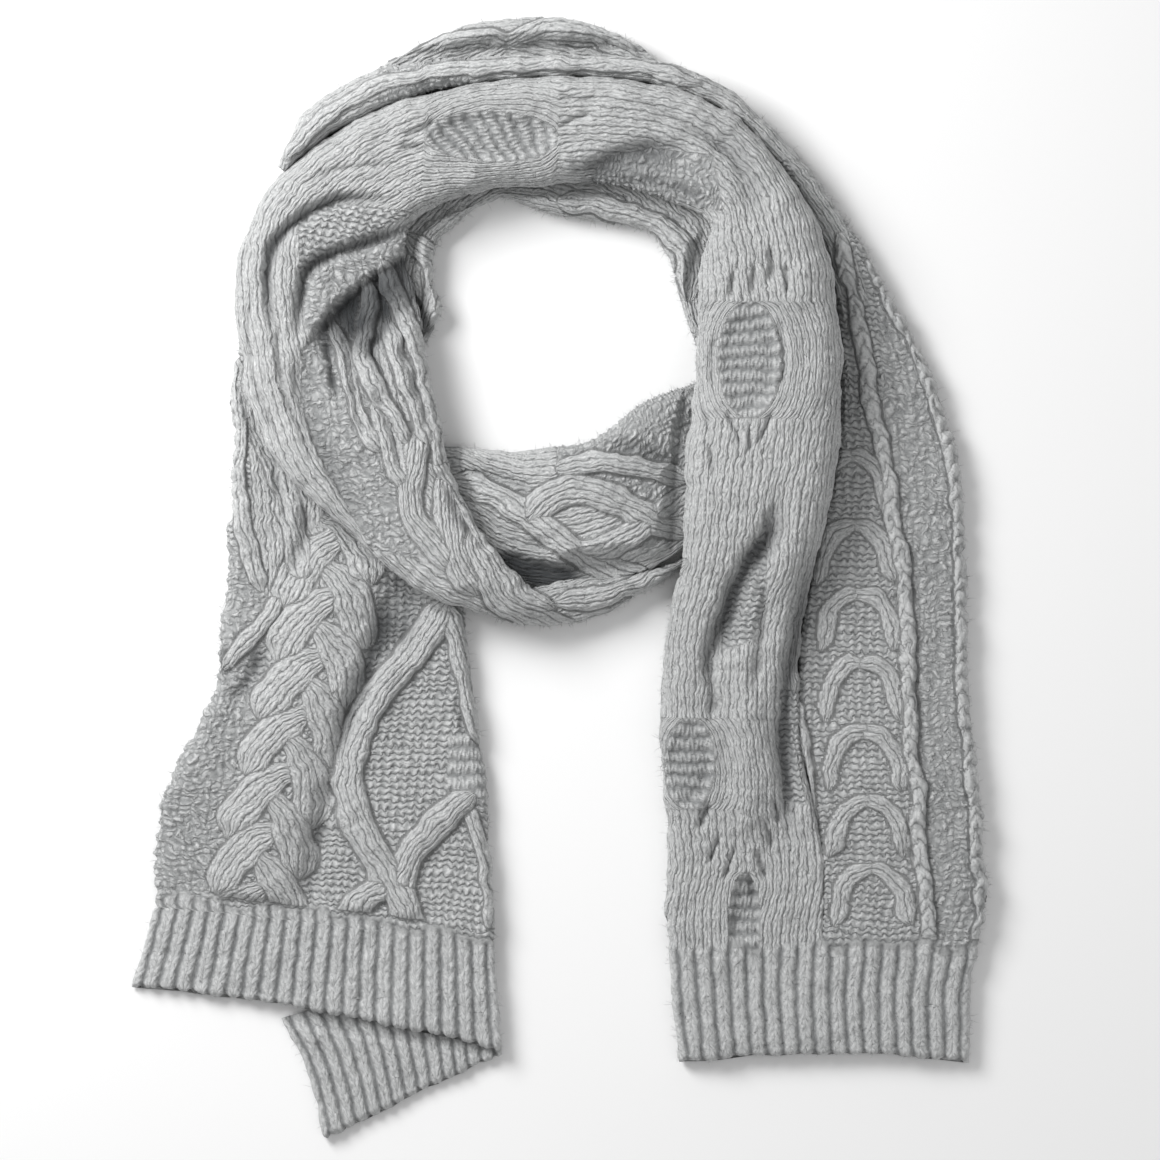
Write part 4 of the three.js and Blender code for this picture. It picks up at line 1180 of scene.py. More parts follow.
        # A fine section: up the inner side, over the top and down the outer side.
        q = np.linspace(0, 1, self.SIDE_SAMPLES, endpoint=False)
        top = 0.5 - 0.5 * np.cos(np.pi * np.linspace(0, 1, self.TOP_SAMPLES))
        t = np.concatenate([np.zeros_like(q), top, np.ones_like(q)])[None, :]
        up = np.concatenate([q, np.ones_like(top), q[::-1]])[None, :]
        lift, high, edge = self.heights(s, t)
        z = lift + edge * up + (high - edge) * self.rounding(s, t, width, along) * (up >= 1)
        inner, outer = (self.side_shape(side, up) for side in (self.inner, self.outer))
        across = t * width + np.where(t < 0.5, inner, -outer) * (up < 1)
        arc = np.hypot(np.diff(across, axis=1), np.diff(z, axis=1))
        arc = np.concatenate([np.zeros((len(s), 1)), np.cumsum(arc, axis=1)], axis=1)

        # The same section at even steps.
        columns = self.columns or round(float(arc[:, -1].mean()) / self.step)
        even = np.linspace(0, 1, columns + 1)
        wanted = even[None, :] * arc[:, -1:]
        fine_index = np.arange(arc.shape[1])
        place = np.stack([np.interp(w, r, fine_index) for w, r in zip(wanted, arc)])
        i = np.minimum(arc.shape[1] - 2, np.floor(place)).astype(int)
        f = place - i

        def even_of(values: Array) -> Array:
            values = np.broadcast_to(values, arc.shape)
            low, high_ = np.take_along_axis(values, i, 1), np.take_along_axis(values, i + 1, 1)
            return low * (1 - f) + high_ * f

        t, up, across = even_of(t), even_of(up), even_of(across)
        bow = s[:, 10:11] * 4 * t * (1 - t)
        unit = chord / width
        x = a[:, 0:1] + unit[:, 0:1] * across + travel[:, 0:1] * bow
        y = a[:, 1:2] + unit[:, 1:2] * across + travel[:, 1:2] * bow
        lift, high, edge = self.heights(s, t)
        rise, su, sv, share, foot = self.detail.raised(x, y)
        folded = self.detail.folded(x, y)
        gap = along if self.to_ribbing == "start" else along[-1] - along
        free = np.ones((len(along), 1))
        if self.to_ribbing:
            free = smooth((gap - RIB_START) / CABLE_FADE)[:, None]
        sides = self.rounding(s, t, width, along)
        cloth = np.maximum(LEAST_CLOTH, high - edge - folded * free) + rise * free
        z = lift + edge * up + cloth * sides * smooth((up - 0.9) / 0.1)
        if self.ceiling is not None:
            z = np.minimum(z, self.ceiling.at(x, y))
        middle = wanted - arc[:, -1:] / 2
        v = (self.start + along)[:, None] + 0 * middle
        strand = (su, sv, share * free, 1 - (1 - foot) * free)
        to_hem = along if self.hem == "start" else along[-1] - along
        points = np.stack([x, y, z], -1)
        # Fold depth that sets the painted shade, less a share of the strands' rise.
        depth = np.maximum(0, folded - ROPE_LIGHT * rise) * free
        return Surface(self, points, middle, v, t, strand, width, gap, to_hem, depth)


@dataclass
class Surface:
    """The smooth surface of a stretch, and its stitches.

    Attributes:
        stretch: Where it comes from.
        points: Shape (n, m, 3), mm.
        across: Distance from the section's middle along the surface, mm.
        along: Distance along the strip, mm.
        t: Share across.
        strand: Stitches across and along on the strands, the strands' share, and a factor that
        sinks the stitches at their foot and paints shade there.
        width: Width of each section, mm.
        to_end: Distance of each section from the ribbing, where there is one.
        to_hem: Distance of each section from the hem, where there is one.
        folded: Depth of the folds, less what lifts a strand out of their painted shade, mm.
    """

    stretch: Stretch
    points: Array
    across: Array
    along: Array
    t: Array
    strand: tuple[Array, Array, Array, Array]
    width: Array
    to_end: Array
    to_hem: Array
    folded: Array

    def normals(self) -> Array:
        """Outward directions.

        Returns:
            Unit vectors, the cross product of the steps along and across.
        """
        step_n = np.gradient(self.points, axis=0)
        step_m = np.gradient(self.points, axis=1)
        n = np.cross(step_n, step_m)
        return n / np.maximum(np.linalg.norm(n, axis=-1, keepdims=True), 1e-9)

    def stitched(self) -> "Stitched":
        """Moves the points out by the height of the stitches.

        Returns:
            The points and what the finish reads at each.
        """
        detail, stretch = self.stretch.detail, self.stretch
        x, y = self.points[..., 0], self.points[..., 1]
        shift = np.zeros(x.shape)
        for row in detail.ovals:
            across, along = oval_place(row, x, y)
            rim = np.sqrt(np.clip(1 - along**2, 0, 1))
            push = rim * np.exp(-np.clip(np.abs(across) - rim, 0, None) / 1.1)
            shift -= np.sign(across) * push * row[2] * PLAN_UNIT * (np.abs(across) > rim)
        wobble_u, wobble_v = noises(x, y, WANDER_ACROSS), noises(x, y, WANDER_ALONG)
        u = (self.across + shift) / WALE + wobble_u
        v = self.along / COURSE + wobble_v
        low, high = stretch.rib_span
        ribbing = 2 * stretch.ribs * (low + (high - low) * self.t) + 0.4 * wobble_u
        kinds = detail.kinds(x, y)
        drawn = np.ones(x.shape) if stretch.hem else np.zeros(x.shape)
        started = drawn.copy()
        if stretch.to_ribbing:
            edge = RIB_START + RIB_STAGGER * value_noise(ribbing / 2, 0 * ribbing, 11)
            started = smooth((edge - self.to_end[:, None]) / RIB_BLEND + 0.5)
            drawn = smooth((DRAW_IN - self.to_end[:, None]) / (DRAW_IN - DRAWN)) + 0 * x
        loose = (kinds == Knit.MOSS.value) * (1 - drawn)
        middle = 2 * round(stretch.ribs * (low + high) / 2)
        u = (u + LOOSE[0] * wobble_u * loose) * (1 - drawn) + (ribbing - middle) * drawn
        v = v + LOOSE[1] * wobble_v * loose
        su, sv, share, foot = self.strand
        on_strand = (share > 0.5) & (started < 0.5)
        u = np.where(on_strand, su + 0.35 * wobble_u, u)
        v = np.where(on_strand, sv + wobble_v, v)
        kinds = np.where(on_strand, Knit.STOCKINETTE.value, kinds)
        kinds = np.where(on_strand & (share > 1.5), Knit.CHAIN.value, kinds)
        height = np.zeros(x.shape)
        for knit, (pattern, size) in PATTERNS.items():
            here = kinds == knit.value
            if here.any():
                height[here] = pattern(u[here], v[here]) * size
        rib, rib_size = PATTERNS[Knit.RIB]
        height = height * (1 - started) + rib(u, v) * rib_size * started
        # At a strand's foot the stitches sink, and the finish paints shade by this value.
        groove = np.where(on_strand, foot, 1.0)
        # Painted shade of the folds and ovals: 1 on open ground, falling towards 0 where they are
        # deep.
        deep = self.folded / FOLD_SHADE
        first, second, later = FOLD_PAINTED_SHADE
        shade = 1 - first * smooth(deep) - second * smooth(deep - later)
        uneven = value_noise(np.floor(u) * 1.7 + 0.5, np.floor(v) * 1.3 + 0.5, 8)
        height *= groove * (1 + UNEVEN * uneven)
        height += noises(x, y, LUMPS)
        low = np.clip(self.points[..., 2] / CALM, 0, 1)
        moved = self.points + self.normals() * ((height - MEAN_STITCH) * low)[..., None]
        if stretch.hem:
            travel = np.gradient(self.points, axis=0)
            travel /= np.linalg.norm(travel, axis=-1, keepdims=True)
            wave = value_noise(ribbing / 7, 0 * ribbing, 12)
            reach = HEM_SCALLOP * np.cos(np.pi * ribbing) + HEM_WAVE * wave
            out = 1 if stretch.hem == "end" else -1
            near = smooth(1 - self.to_hem / HEM_REACH)[:, None] * out
            moved += travel * (reach * near)[..., None]
        moved[..., 2] = np.maximum(moved[..., 2], 0.0)
        weights = [(kinds == knit.value) * (1 - started) for knit in list(Knit)[1:]]
        weights[Knit.RIB.value - 1] = started
        return Stitched(moved, np.stack([u, v], -1), np.stack(weights, -1), groove, shade)


@dataclass(frozen=True)
class Stitched:
    """The points of a stretch with its stitches, and what its finish reads there.

    Attributes:
        points: Shape (n, m, 3), mm.
        place: Stitches across and along, shape (n, m, 2).
        knits: Share of each pattern but stockinette, shape (n, m, 5).
        groove: 1 on open ground and on a strand, falling to 0 at its foot, where the stitches
        sink and the finish paints shade.
        shade: Painted shade, 1 on open ground, falling to 0 in the deepest folds.
    """

    points: Array
    place: Array
    knits: Array
    groove: Array
    shade: Array


class NodeValue(np.lib.mixins.NDArrayOperatorsMixin):
    """A value worked out by math nodes, written like an array's."""

    OPERATIONS = {
        np.add: "ADD", np.subtract: "SUBTRACT", np.multiply: "MULTIPLY", np.divide: "DIVIDE",
        np.power: "POWER", np.sin: "SINE", np.cos: "COSINE", np.floor: "FLOOR", np.sqrt: "SQRT",
        np.absolute: "ABSOLUTE", np.minimum: "MINIMUM", np.maximum: "MAXIMUM", np.sign: "SIGN",
    }

    def __init__(self, tree: bpy.types.NodeTree, socket: bpy.types.NodeSocket) -> None:
        """Keeps the node tree and the output socket that gives the value."""
        self.tree, self.socket = tree, socket

    def __array_ufunc__(self, ufunc, method: str, *inputs, **kwargs) -> "NodeValue":
        """Makes a math node for a numpy function.

        Args:
            ufunc: The function.
            method: How numpy calls it.
            inputs: Values and numbers.
            kwargs: Not used.

        Returns:
            The node's value.
        """
        node = self.tree.nodes.new("ShaderNodeMath")
        node.operation = self.OPERATIONS[ufunc]
        for place, value in zip(node.inputs, inputs):
            if isinstance(value, NodeValue):
                self.tree.links.new(value.socket, place)
            else:
                place.default_value = float(value)
        return NodeValue(self.tree, node.outputs[0])

    def held(self) -> "NodeValue":
        """Holds the value between 0 and 1.

        Returns:
            The held value.
        """
        return np.minimum(np.maximum(self, 0.0), 1.0)


@dataclass(frozen=True)
class WoolFinish:
    """Heather wool: a grey yarn with paler and darker fibres.

    Attributes:
        name: Of the material.
        pale: Colour of the raised yarn, linear.
        deep: Painted shade between the stitches, where they are low.
        fleck: Colour of the pale fibres.
        dusk: Colour of the dark fibres.
        painted_fold_shadow: Painted shade, near black, in the deepest folds.
        roughness: Of the surface.
        sheen: Weight of the soft edge glow.
        sway: Cells to a metre of the noises that move the stitches.
        heather: The same of the mixed yarn.
        cloud: The same of the paler patches.
        bump: Its strength, and its height in metres.
    """

    name: str = "heather_wool"
    pale: tuple[float, float, float] = (0.488, 0.495, 0.495)
    deep: tuple[float, float, float] = (0.120, 0.125, 0.128)
    fleck: tuple[float, float, float] = (0.78, 0.785, 0.78)
    dusk: tuple[float, float, float] = (0.15, 0.157, 0.161)
    painted_fold_shadow: tuple[float, float, float] = (0.032, 0.035, 0.038)
    roughness: float = 0.95
    sheen: float = 0.2
    sway: tuple[float, float, float] = (170.0, 190.0, 600.0)
    heather: float = 650.0
    cloud: float = 40.0
    bump: tuple[float, float] = (0.8, 0.0011)

    def stitches(self, tree: bpy.types.NodeTree) -> tuple[NodeValue, NodeValue, NodeValue]:
        """Works the stitches' height out again for each point of the picture.

        Args:
            tree: The material's tree.

        Returns:
            Height from 0 to 1, and the place across and along the fibres, mm.
        """
        place = tree.nodes.new("ShaderNodeUVMap")
        place.uv_map = "stitches"
        parts = tree.nodes.new("ShaderNodeSeparateXYZ")
        tree.links.new(place.outputs["UV"], parts.inputs[0])
        u, v = (NodeValue(tree, parts.outputs[i]) for i in range(2))
        here = tree.nodes.new("ShaderNodeTexCoord").outputs["Object"]
        sway = [self.noise(tree, scale, 1.0, here) - 0.5 for scale in self.sway]
        weights = [self.attribute(tree, knit.name.lower()) for knit in list(Knit)[1:]]
        looser = weights[1] * 1.6 + weights[0] * 0.6 + 1.0
        u = u + (sway[0] * 0.5 + sway[2] * 0.22) * looser
        v = v + (sway[1] * 0.6 + sway[2] * 0.4) * looser
        plain = 1.0 - (weights[0] + weights[1] + weights[2] + weights[3] + weights[4])
        height = Stitches.stockinette(u, v) * plain
        for weight, knit in zip(weights, list(Knit)[1:]):
            height = height + PATTERNS[knit][0](u, v) * weight
        lean = np.sign(u - np.floor(u) - 0.5) * 0.5
        across = u * (0.85 * WALE) + v * lean * COURSE
        along = v * (0.85 * COURSE) - u * lean * WALE
        level = weights[0] + weights[1] + weights[2]
        turned_across = across + (v * COURSE - across) * level
        turned_along = along + (u * WALE - along) * level
        return height, turned_across, turned_along

    def build(self) -> bpy.types.Material:
        """Makes the material.

        Returns:
            A node material with painted shade between the stitches, at the strands' feet and in
            the folds, fibres along the yarn and a fine bump.
        """
        material = bpy.data.materials.new(self.name)
        material.use_nodes = True
        tree = material.node_tree
        shader = tree.nodes["Principled BSDF"]
        shader.inputs["Roughness"].default_value = self.roughness
        shader.inputs["Sheen Weight"].default_value = self.sheen
        shader.inputs["Sheen Roughness"].default_value = 0.6
        shader.inputs["Specular IOR Level"].default_value = 0.12

        height, across, along = self.stitches(tree)
        painted_foot_shade, folds = (self.attribute(tree, name) for name in ("groove", "shade"))
        fibre = self.noise(tree, 1.0, 3.0, self.joined(tree, across * 1.7, along * 0.36))
        strands = self.noise(tree, 1.0, 2.0, self.joined(tree, across * 0.55, along * 0.22))
        place = tree.nodes.new("ShaderNodeTexCoord").outputs["Object"]
        heather = self.noise(tree, self.heather, 2.0, place)
        cloud = self.noise(tree, self.cloud, 2.0, place)

        # Painted shade: darker where the stitches are low, at a strand's foot and in the folds.
        depth = (height * 1.05 + 0.14).held() * (painted_foot_shade * 0.25 + 0.75) * (folds * 0.4 + 0.6)
        # Fibres and patches: a noise past its middle, times its contrast, held, times its weight.
        base = self.blend(tree, depth, self.deep, self.pale)
        for share, colour in (
            (((fibre - 0.5) * 6.0).held() * 0.4 * depth, self.fleck),
            (((0.48 - fibre) * 6.0).held() * 0.3, self.dusk),
            (((strands - 0.5) * 4.0).held() * 0.25 * depth, self.fleck),
            (((0.5 - heather) * 5.0).held() * 0.3, self.dusk),
            (((cloud - 0.4) * 3.0).held() * 0.08, self.fleck),
        ):
            base = self.blend(tree, share, base, colour)
        # Painted shade: near black in the deepest folds.
        base = self.blend(tree, folds, self.painted_fold_shadow, base)
        tree.links.new(base, shader.inputs["Base Color"])

        bump = tree.nodes.new("ShaderNodeBump")
        strength, size = self.bump
        bump.inputs["Strength"].default_value = strength
        bump.inputs["Distance"].default_value = size
        tree.links.new((height + fibre * 0.5 + strands * 0.2).socket, bump.inputs["Height"])
        tree.links.new(bump.outputs["Normal"], shader.inputs["Normal"])
        return material

    @staticmethod
    def attribute(tree: bpy.types.NodeTree, name: str) -> NodeValue:
        """Reads a value of the mesh.

        Args:
            tree: The node tree.
            name: Of the attribute.

        Returns:
            The value at each point.
        """
        node = tree.nodes.new("ShaderNodeAttribute")
        node.attribute_name = name
        return NodeValue(tree, node.outputs["Fac"])

    @staticmethod
    def joined(tree: bpy.types.NodeTree, x: NodeValue, y: NodeValue) -> bpy.types.NodeSocket:
        """Joins two values into a place.

        Args:
            tree: The node tree.
            x: First coordinate.
            y: Second coordinate.

        Returns:
            The vector's socket.
        """
        node = tree.nodes.new("ShaderNodeCombineXYZ")
        tree.links.new(x.socket, node.inputs[0])
        tree.links.new(y.socket, node.inputs[1])
        return node.outputs[0]

    @staticmethod
    def noise(
        tree: bpy.types.NodeTree, scale: float, octaves: float, place: bpy.types.NodeSocket
    ) -> NodeValue:
        """Makes a noise.

        Args:
            tree: The node tree.
            scale: How many cells in a unit.
            octaves: Finer noises added to it.
            place: Where to read it.

        Returns:
            Values around 0.5.
        """
        node = tree.nodes.new("ShaderNodeTexNoise")
        node.inputs["Scale"].default_value = scale
        node.inputs["Detail"].default_value = octaves
        tree.links.new(place, node.inputs["Vector"])
        return NodeValue(tree, node.outputs["Fac"])

    @staticmethod
    def blend(tree: bpy.types.NodeTree, share: NodeValue, first, second) -> bpy.types.NodeSocket:
        """Mixes two colours.

        Args:
            tree: The node tree.
            share: From 0 to 1.
            first: Colour or socket at 0.
            second: Colour or socket at 1.

        Returns:
            The mixed colour's socket.
        """
        node = tree.nodes.new("ShaderNodeMix")
        node.data_type = "RGBA"
        tree.links.new(share.socket, node.inputs["Factor"])
        for socket, colour in ((node.inputs[6], first), (node.inputs[7], second)):
            if isinstance(colour, tuple):
                socket.default_value = (*colour, 1.0)
            else:
                tree.links.new(colour, socket)
        return node.outputs[2]


def join(chain: list["ClothPiece"]) -> None:
    """Makes neighbours in a chain meet in the same points and shade as one.

    Args:
        chain: Pieces in the order of the strip.
    """
    for piece, after in zip(chain, chain[1:]):
        last, first = piece.surface.stretch.rows[-1], after.surface.stretch.rows[0]
        a, b = piece.stitched.points, after.stitched.points
        if np.array_equal(last, first) and a.shape[1] == b.shape[1]:
            a[-1] = b[0] = (a[-1] + b[0]) / 2
            piece.after, after.before = b[1], a[-2]


class ClothPiece:
    """Turns a surface into a closed mesh that stands for its solid."""

    def __init__(self, surface: Surface, material: bpy.types.Material) -> None:
        """Keeps what the piece is made from.

        Args:
            surface: The stretch's surface.
            material: Its finish.
        """
        self.surface, self.material = surface, material
        self.stitched = surface.stitched()
        self.before: Array | None = None
        self.after: Array | None = None

    def normals(self, verts: Array) -> Array:
        """Directions for the shading, worked out across the seams.

        Args:
            verts: Rings of points, shape (n, ring, 3).

        Returns:
            Unit vectors; those of the underside point down.
        """
        m = self.stitched.points.shape[1]
        rows = [r for r in (self.before, self.stitched.points, self.after) if r is not None]
        grown = np.concatenate([r.reshape(-1, m, 3) for r in rows])
        n = np.cross(np.gradient(grown, axis=0), np.gradient(grown, axis=1))
        n /= np.maximum(np.linalg.norm(n, axis=-1, keepdims=True), 1e-9)
        start = 0 if self.before is None else 1
        n = n[start:start + len(verts)]
        down = np.zeros_like(verts[:, m:])
        down[..., 2] = -1
        return np.concatenate([n, down], axis=1)

    @staticmethod
    def cap(m: int, ring: int) -> Array:
        """Closes the first ring, each point on top with the nearest of the underside.

        Args:
            m: Points of the ring on the outside.
            ring: Points of the ring in all.

        Returns:
            Triangles of shape (k, 3).
        """
        low = np.concatenate([[0], np.arange(ring - 1, m - 2, -1)])
        j = np.arange(m - 1)
        k = np.rint((j + 0.5) / (m - 1) * (len(low) - 1)).astype(int)
        down = np.stack([j, j + 1, low[k]], -1)
        down = down[(down[:, 2] != down[:, 0]) & (down[:, 2] != down[:, 1])]
        turn = j[:-1][np.diff(k) > 0]
        return np.concatenate([down, np.stack([low[k[turn] + 1], low[k[turn]], turn + 1], -1)])

    @staticmethod
    def faces(n: int, ring: int) -> Array:
        """Joins the ring of each step to the next.

        Args:
            n: Steps along.
            ring: Points of each ring in all.

        Returns:
            Quads of shape (k, 4).
        """
        i, j = np.meshgrid(np.arange(n - 1), np.arange(ring), indexing="ij")
        k = (j + 1) % ring
        low, high = i * ring, (i + 1) * ring
        return np.stack([low + j, high + j, high + k, low + k], -1).reshape(-1, 4)

    def build(self) -> bpy.types.Object:
        """Returns:
            The object, riding the part's one body.
        """
        stretch = self.surface.stretch
        stitched = self.stitched
        points = stitched.points
        n, m = stitched.groove.shape
        if stretch.to_ribbing == "end":
            points[-1, :, 1] -= SEAM_OVERLAP
        base = np.linspace(1, 0, Stretch.BASE_COLUMNS + 2)[1:-1]
        under = points[:, np.rint(base * (m - 1)).astype(int)]
        under[..., 2] = points[:, :1, 2] * (1 - base) + points[:, -1:, 2] * base
        verts = np.concatenate([points, under], axis=1)
        ring = verts.shape[1]

        def ringed(values: Array) -> Array:
            grown = np.concatenate([values, np.repeat(values[:, -1:], ring - m, axis=1)], axis=1)
            grown = grown.reshape(n * ring, -1).astype(np.float32)
            return np.concatenate([grown, grown[spots]])

        quads, cap = self.faces(n, ring), self.cap(m, ring)
        directions = self.normals(verts).reshape(-1, 3)
        rng = np.random.default_rng(len(stretch.name))
        fuzz = Fuzz()
        count = int(fuzz.density * self.surface.width.mean() * stretch.length() / 100)
        root = rng.integers(1, n - 1, count) * ring + rng.integers(4, m - 4, count)
        spots = np.repeat(root, Fuzz.POINTS)
        fibres = fuzz.grow(verts.reshape(-1, 3)[root], directions[root], count).reshape(-1, 3)
        fibres[:, 2] = np.maximum(fibres[:, 2], 0.0)
        all_verts = np.concatenate([verts.reshape(-1, 3), fibres]) * MM
        first = n * ring + Fuzz.POINTS * np.arange(count)[:, None]
        blades, tips = first + [[0, 1, 2, 3]], first + [[3, 2, 4]]
        tris = np.concatenate([cap, cap[:, ::-1] + (n - 1) * ring, tips])
        quads = np.concatenate([quads, blades])
        directions = np.concatenate([directions, directions[spots]])

        mesh = bpy.data.meshes.new(stretch.name + "_knit")
        loops = np.concatenate([quads.ravel(), tris.ravel()]).astype(np.int32)
        sides = np.repeat([4, 3], [len(quads), len(tris)])
        starts = np.cumsum(sides) - sides
        mesh.vertices.add(len(all_verts))
        mesh.vertices.foreach_set("co", all_verts.astype(np.float32).ravel())
        mesh.loops.add(len(loops))
        mesh.loops.foreach_set("vertex_index", loops)
        mesh.polygons.add(len(starts))
        mesh.polygons.foreach_set("loop_start", starts.astype(np.int32))
        mesh.update(calc_edges=True)
        mesh.validate()
        # The painted shade of the folds and of the strands' feet goes to the finish as attributes.
        shares = {"groove": stitched.groove, "shade": stitched.shade}
        shares |= {k.name.lower(): stitched.knits[..., i] for i, k in enumerate(list(Knit)[1:])}
        for name, values in shares.items():
            layer = mesh.attributes.new(name, "FLOAT", "POINT")
            layer.data.foreach_set("value", ringed(values).ravel())
        uv = ringed(stitched.place)[loops]
        mesh.uv_layers.new(name="stitches").data.foreach_set("uv", uv.ravel())
        flat = (np.arange(len(starts)) - len(quads)) // len(cap)
        mesh.polygons.foreach_set("use_smooth", (flat < 0) | (flat > 1))
        mesh.normals_split_custom_set_from_vertices(directions.tolist())
        mesh.materials.append(self.material)
        made = bpy.data.objects.new(stretch.name + "_knit", mesh)
        bpy.context.scene.collection.objects.link(made)
        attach(made, "root")
        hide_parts(stretch.name)
        log.info("%s: %d triangles", made.name, 2 * len(quads) + len(tris))
        return made

    def flat_size(self) -> tuple[float, float]:
        """The cloth's cut as it shows.

        Returns:
            Mean width of its two layers, with the rise and fall of the stitches in the upper one,
            and length along its middle, in metres.
        """
        points = self.stitched.points
        over = np.linalg.norm(np.diff(points, axis=1), axis=2).sum(1).mean()
        flat = float(self.surface.width.mean())
        length = float(self.surface.along[-1, 0] - self.surface.along[0, 0])
        return float(over + flat) / 2 * MM, length * MM


@dataclass(frozen=True)
class Fuzz:
    """Loose fibres that stand off the yarn.

    Attributes:
        density: Fibres to a square centimetre of the plan.
        length: Of the longest, mm.
        width: At the root, mm.
        lean: How far they lie down, where 0 stands upright.
    """

    density: float = 12.0
    length: float = 3.4
    width: float = 0.13
    lean: float = 1.9

    POINTS = 5

    def grow(self, roots: Array, normals: Array, seed: int) -> Array:
        """Bends a fibre out of each root.

        Args:
            roots: Points on the surface, shape (k, 3), mm.
            normals: Unit vectors there.
            seed: Which random directions.

        Returns:
            Five points a fibre, shape (k, 5, 3): two at the root, two halfway and the tip, at
            root + s length (n (1 - s / 2) + lean t s), with t a random direction.
        """
        rng = np.random.default_rng(seed)
        turn = rng.uniform(0, 2 * np.pi, len(roots))
        bend = turn + rng.normal(0, 0.9, len(roots))
        size = (self.length * rng.uniform(0.3, 1, len(roots)) ** 1.5)[:, None]
        flat = [np.stack([np.cos(a), np.sin(a), 0 * a], -1) for a in (turn, bend)]
        half = roots + size * (0.4 * normals + 0.3 * self.lean * flat[0])
        tip = half + size * (0.15 * normals + 0.35 * self.lean * flat[1])
        aside = np.stack([-np.sin(turn), np.cos(turn), 0 * turn], -1) * self.width / 2
        thin = aside * 0.7
        return np.stack([roots - aside, roots + aside, half + thin, half - thin, tip], 1)


class Scarf:
    """The whole scarf."""

    def __init__(self, finish: WoolFinish) -> None:
        """Keeps the finish of the wool."""
        self.finish = finish

    def stretches(self) -> list[list[Stretch]]:
        """Lists the stretches in the order of the strip.

        Returns:
            Chains of stretches, each with its details.
        """
        above = Ceiling([WRAP_LEFT, WRAP_TOP, WRAP_RIGHT, EDGE_TOP, EDGE_RIGHT], PRESSED)
        lower = Detail(
            LOWER_FOLDS, strands_of(LATTICE) + Wheat().strands(), LOWER_MOUNDS,
            panels=LOWER_PANELS, ground=Knit.PURL,
        )
        upper = Detail(WRAP_FOLDS, strands_of(WRAP_STRANDS), UPPER_MOUNDS, OVALS, UPPER_PANELS)
        legs = Arches().strands() + strands_of(EDGE_COLUMNS)
        outer = Detail(strands=legs, panels=OUTER_PANELS, ground=Knit.PURL)
        top_edge = Detail(strands=strands_of(TOP_STRANDS), panels=TOP_EDGE_PANELS)
        rib = Detail(ground=Knit.RIB)
        crease, opened = Side.CREASE, Side.OPEN
        rolls = ("neck_back_knit", "neck_front_knit", "tail_left_knit")
        hem = {"slot": "wool_rib", "hold": Hold.LAID}
        cut = 0.497  # where the right tail's two stretches meet, as a share of its hem
        chains = [
            [Stretch("hem_left_under", LEFT_UNDER_HEM, rib, hem="start", ribs=14,
                     ceiling=HemCeiling(), **hem)],
            [
                Stretch("hem_left", LEFT_HEM, rib, hem="start", rests_on=("hem_left_under_knit",),
                        **hem),
                Stretch("tail_left", LEFT_TAIL, lower, outer=opened, ceiling=above,
                        to_ribbing="start"),
                Stretch("neck_back", NECK_BACK, lower, ceiling=above, step=1.15),
                Stretch("neck_front", NECK_FRONT, lower, ceiling=above, step=0.9),
            ],
            [
                Stretch("wrap_left", WRAP_LEFT, upper, rests_on=rolls),
                Stretch("wrap_top", WRAP_TOP, upper, outer=crease, rests_on=rolls),
                Stretch("wrap_right", WRAP_RIGHT, upper, outer=crease, rests_on=rolls),
                Stretch("tail_right", RIGHT_TAIL, upper, outer=crease, ribs=18,
                        rib_span=(0.0, cut), to_ribbing="end"),
                Stretch("hem_right", RIGHT_HEM, rib, hem="end", ribs=18, **hem),
            ],
            [
                Stretch("edge_top", EDGE_TOP, top_edge, inner=crease, step=1.2, rests_on=rolls),
                Stretch("edge_right", EDGE_RIGHT, outer, inner=crease, outer=opened),
                Stretch("tail_right_edge", RIGHT_TAIL_EDGE, outer, inner=crease, outer=opened,
                        ribs=18, rib_span=(cut, 1.0), to_ribbing="end"),
            ],
        ]
        for chain, columns in zip(chains, (116, 200, 142, 76)):
            before = 0.0
            if chain is chains[-1]:
                before = chains[2][-1].start - sum(stretch.length() for stretch in chain)
            for stretch in chain:
                stretch.start, stretch.columns = before, columns
                before += stretch.length()
        return chains

    def build(self) -> None:
        """Makes every piece, and works out the flat size of each."""
        material = self.finish.build()
        made = []
        for stretches in self.stretches():
            chain = [ClothPiece(stretch.build(), material) for stretch in stretches]
            join(chain)
            made += [(piece.build(), piece) for piece in chain]
        for thing, piece in made:
            stretch = piece.surface.stretch
            piece.flat_size()
            list(stretch.rests_on)


class HemCeiling(Ceiling):
    """The height free under the left hem, which rises towards its inner edge."""

    GAP = 1.1

    def __init__(self) -> None:
        """Measures the hem's outline."""
        super().__init__([LEFT_HEM], 0.0)

    def at(self, x: Array, y: Array) -> Array:
        """Reads the ceiling.

        Args:
            x: First coordinate, mm.
            y: Second coordinate, mm.

        Returns:
            The hem's underside less a gap, and more beside it.
        """
        low, high = plan(LEFT_HEM[0, 2:4])[0], plan(LEFT_HEM[0, 0:2])[0]
        share = np.clip((x - low) / (high - low), 0, 1)
        return super().at(x, y) + LEFT_HEM[0, 4] * share - self.GAP


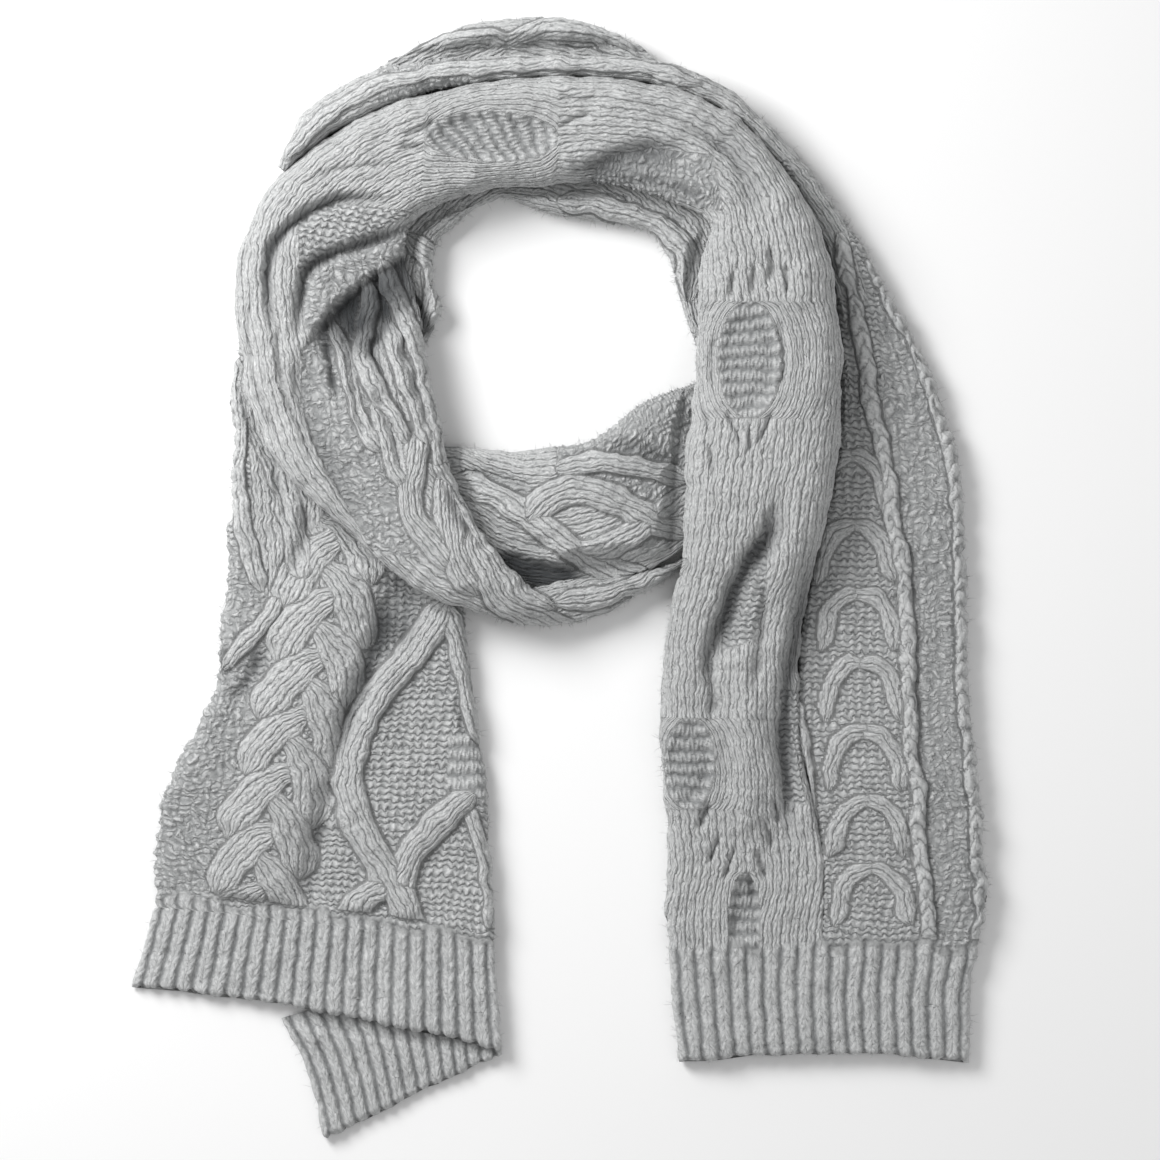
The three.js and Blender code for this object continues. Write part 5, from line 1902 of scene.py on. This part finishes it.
@dataclass(frozen=True)
class Studio:
    """Camera, light and floor.

    Attributes:
        lens: Of the camera, mm.
        field: Width of the view at the scarf, m.
        aim: Middle of the view, m.
        height: Of the plane that fills the view, m.
        key: Strength of the main light, W.
        fill: Strength of the second light, W.
        sky: Strength of the surroundings.
    """

    lens: float = 200.0
    field: float = 0.58
    aim: tuple[float, float] = (0.01045, -0.0009)
    height: float = 0.016
    key: float = 17.5
    fill: float = 3.0
    sky: float = 0.42

    def build(self) -> None:
        """Makes the camera, the lights and the floor."""
        scene = bpy.context.scene
        camera = bpy.data.cameras.new("camera")
        camera.lens, camera.sensor_width = self.lens, 36.0
        eye = bpy.data.objects.new("camera", camera)
        eye.location = (*self.aim, self.height + self.field * self.lens / camera.sensor_width)
        camera.clip_end = 20  # metres
        scene.collection.objects.link(eye)
        scene.camera = eye

        world = bpy.data.worlds.new("studio")
        world.use_nodes = True
        background = world.node_tree.nodes["Background"]
        background.inputs["Color"].default_value = (1.0, 1.0, 1.0, 1.0)
        background.inputs["Strength"].default_value = self.sky
        scene.world = world
        scene.view_settings.view_transform = "Standard"

        for name, spot, power, size in (
            ("key", (-0.75, 0.62, 0.85), self.key, 0.6),
            ("fill", (0.9, -0.5, 1.4), self.fill, 1.4),
        ):
            light = bpy.data.lights.new(name, "AREA")
            light.energy, light.size = power, size
            lamp = bpy.data.objects.new(name, light)
            lamp.location = spot
            away = np.array(spot) - np.array([*self.aim, 0.0])
            lamp.rotation_euler = (
                math.acos(away[2] / np.linalg.norm(away)), 0.0, math.atan2(away[0], -away[1])
            )
            scene.collection.objects.link(lamp)

        floor_mesh = bpy.data.meshes.new("floor")
        reach, low = 6.0, -0.0005
        corners = [(x * reach, y * reach, low) for x, y in ((-1, -1), (1, -1), (1, 1), (-1, 1))]
        floor_mesh.from_pydata(corners, [], [(0, 1, 2, 3)])
        paper = bpy.data.materials.new("paper")
        paper.use_nodes = True
        shader = paper.node_tree.nodes["Principled BSDF"]
        shader.inputs["Base Color"].default_value = (0.93, 0.93, 0.93, 1.0)
        shader.inputs["Roughness"].default_value = 0.9
        floor_mesh.materials.append(paper)
        floor = bpy.data.objects.new("floor", floor_mesh)
        scene.collection.objects.link(floor)


def main() -> None:
    """Builds the scarf and the studio."""
    logging.basicConfig(level=logging.INFO, format="%(message)s")
    Scarf(WoolFinish()).build()
    Studio().build()


if __name__ == "__main__":
    main()
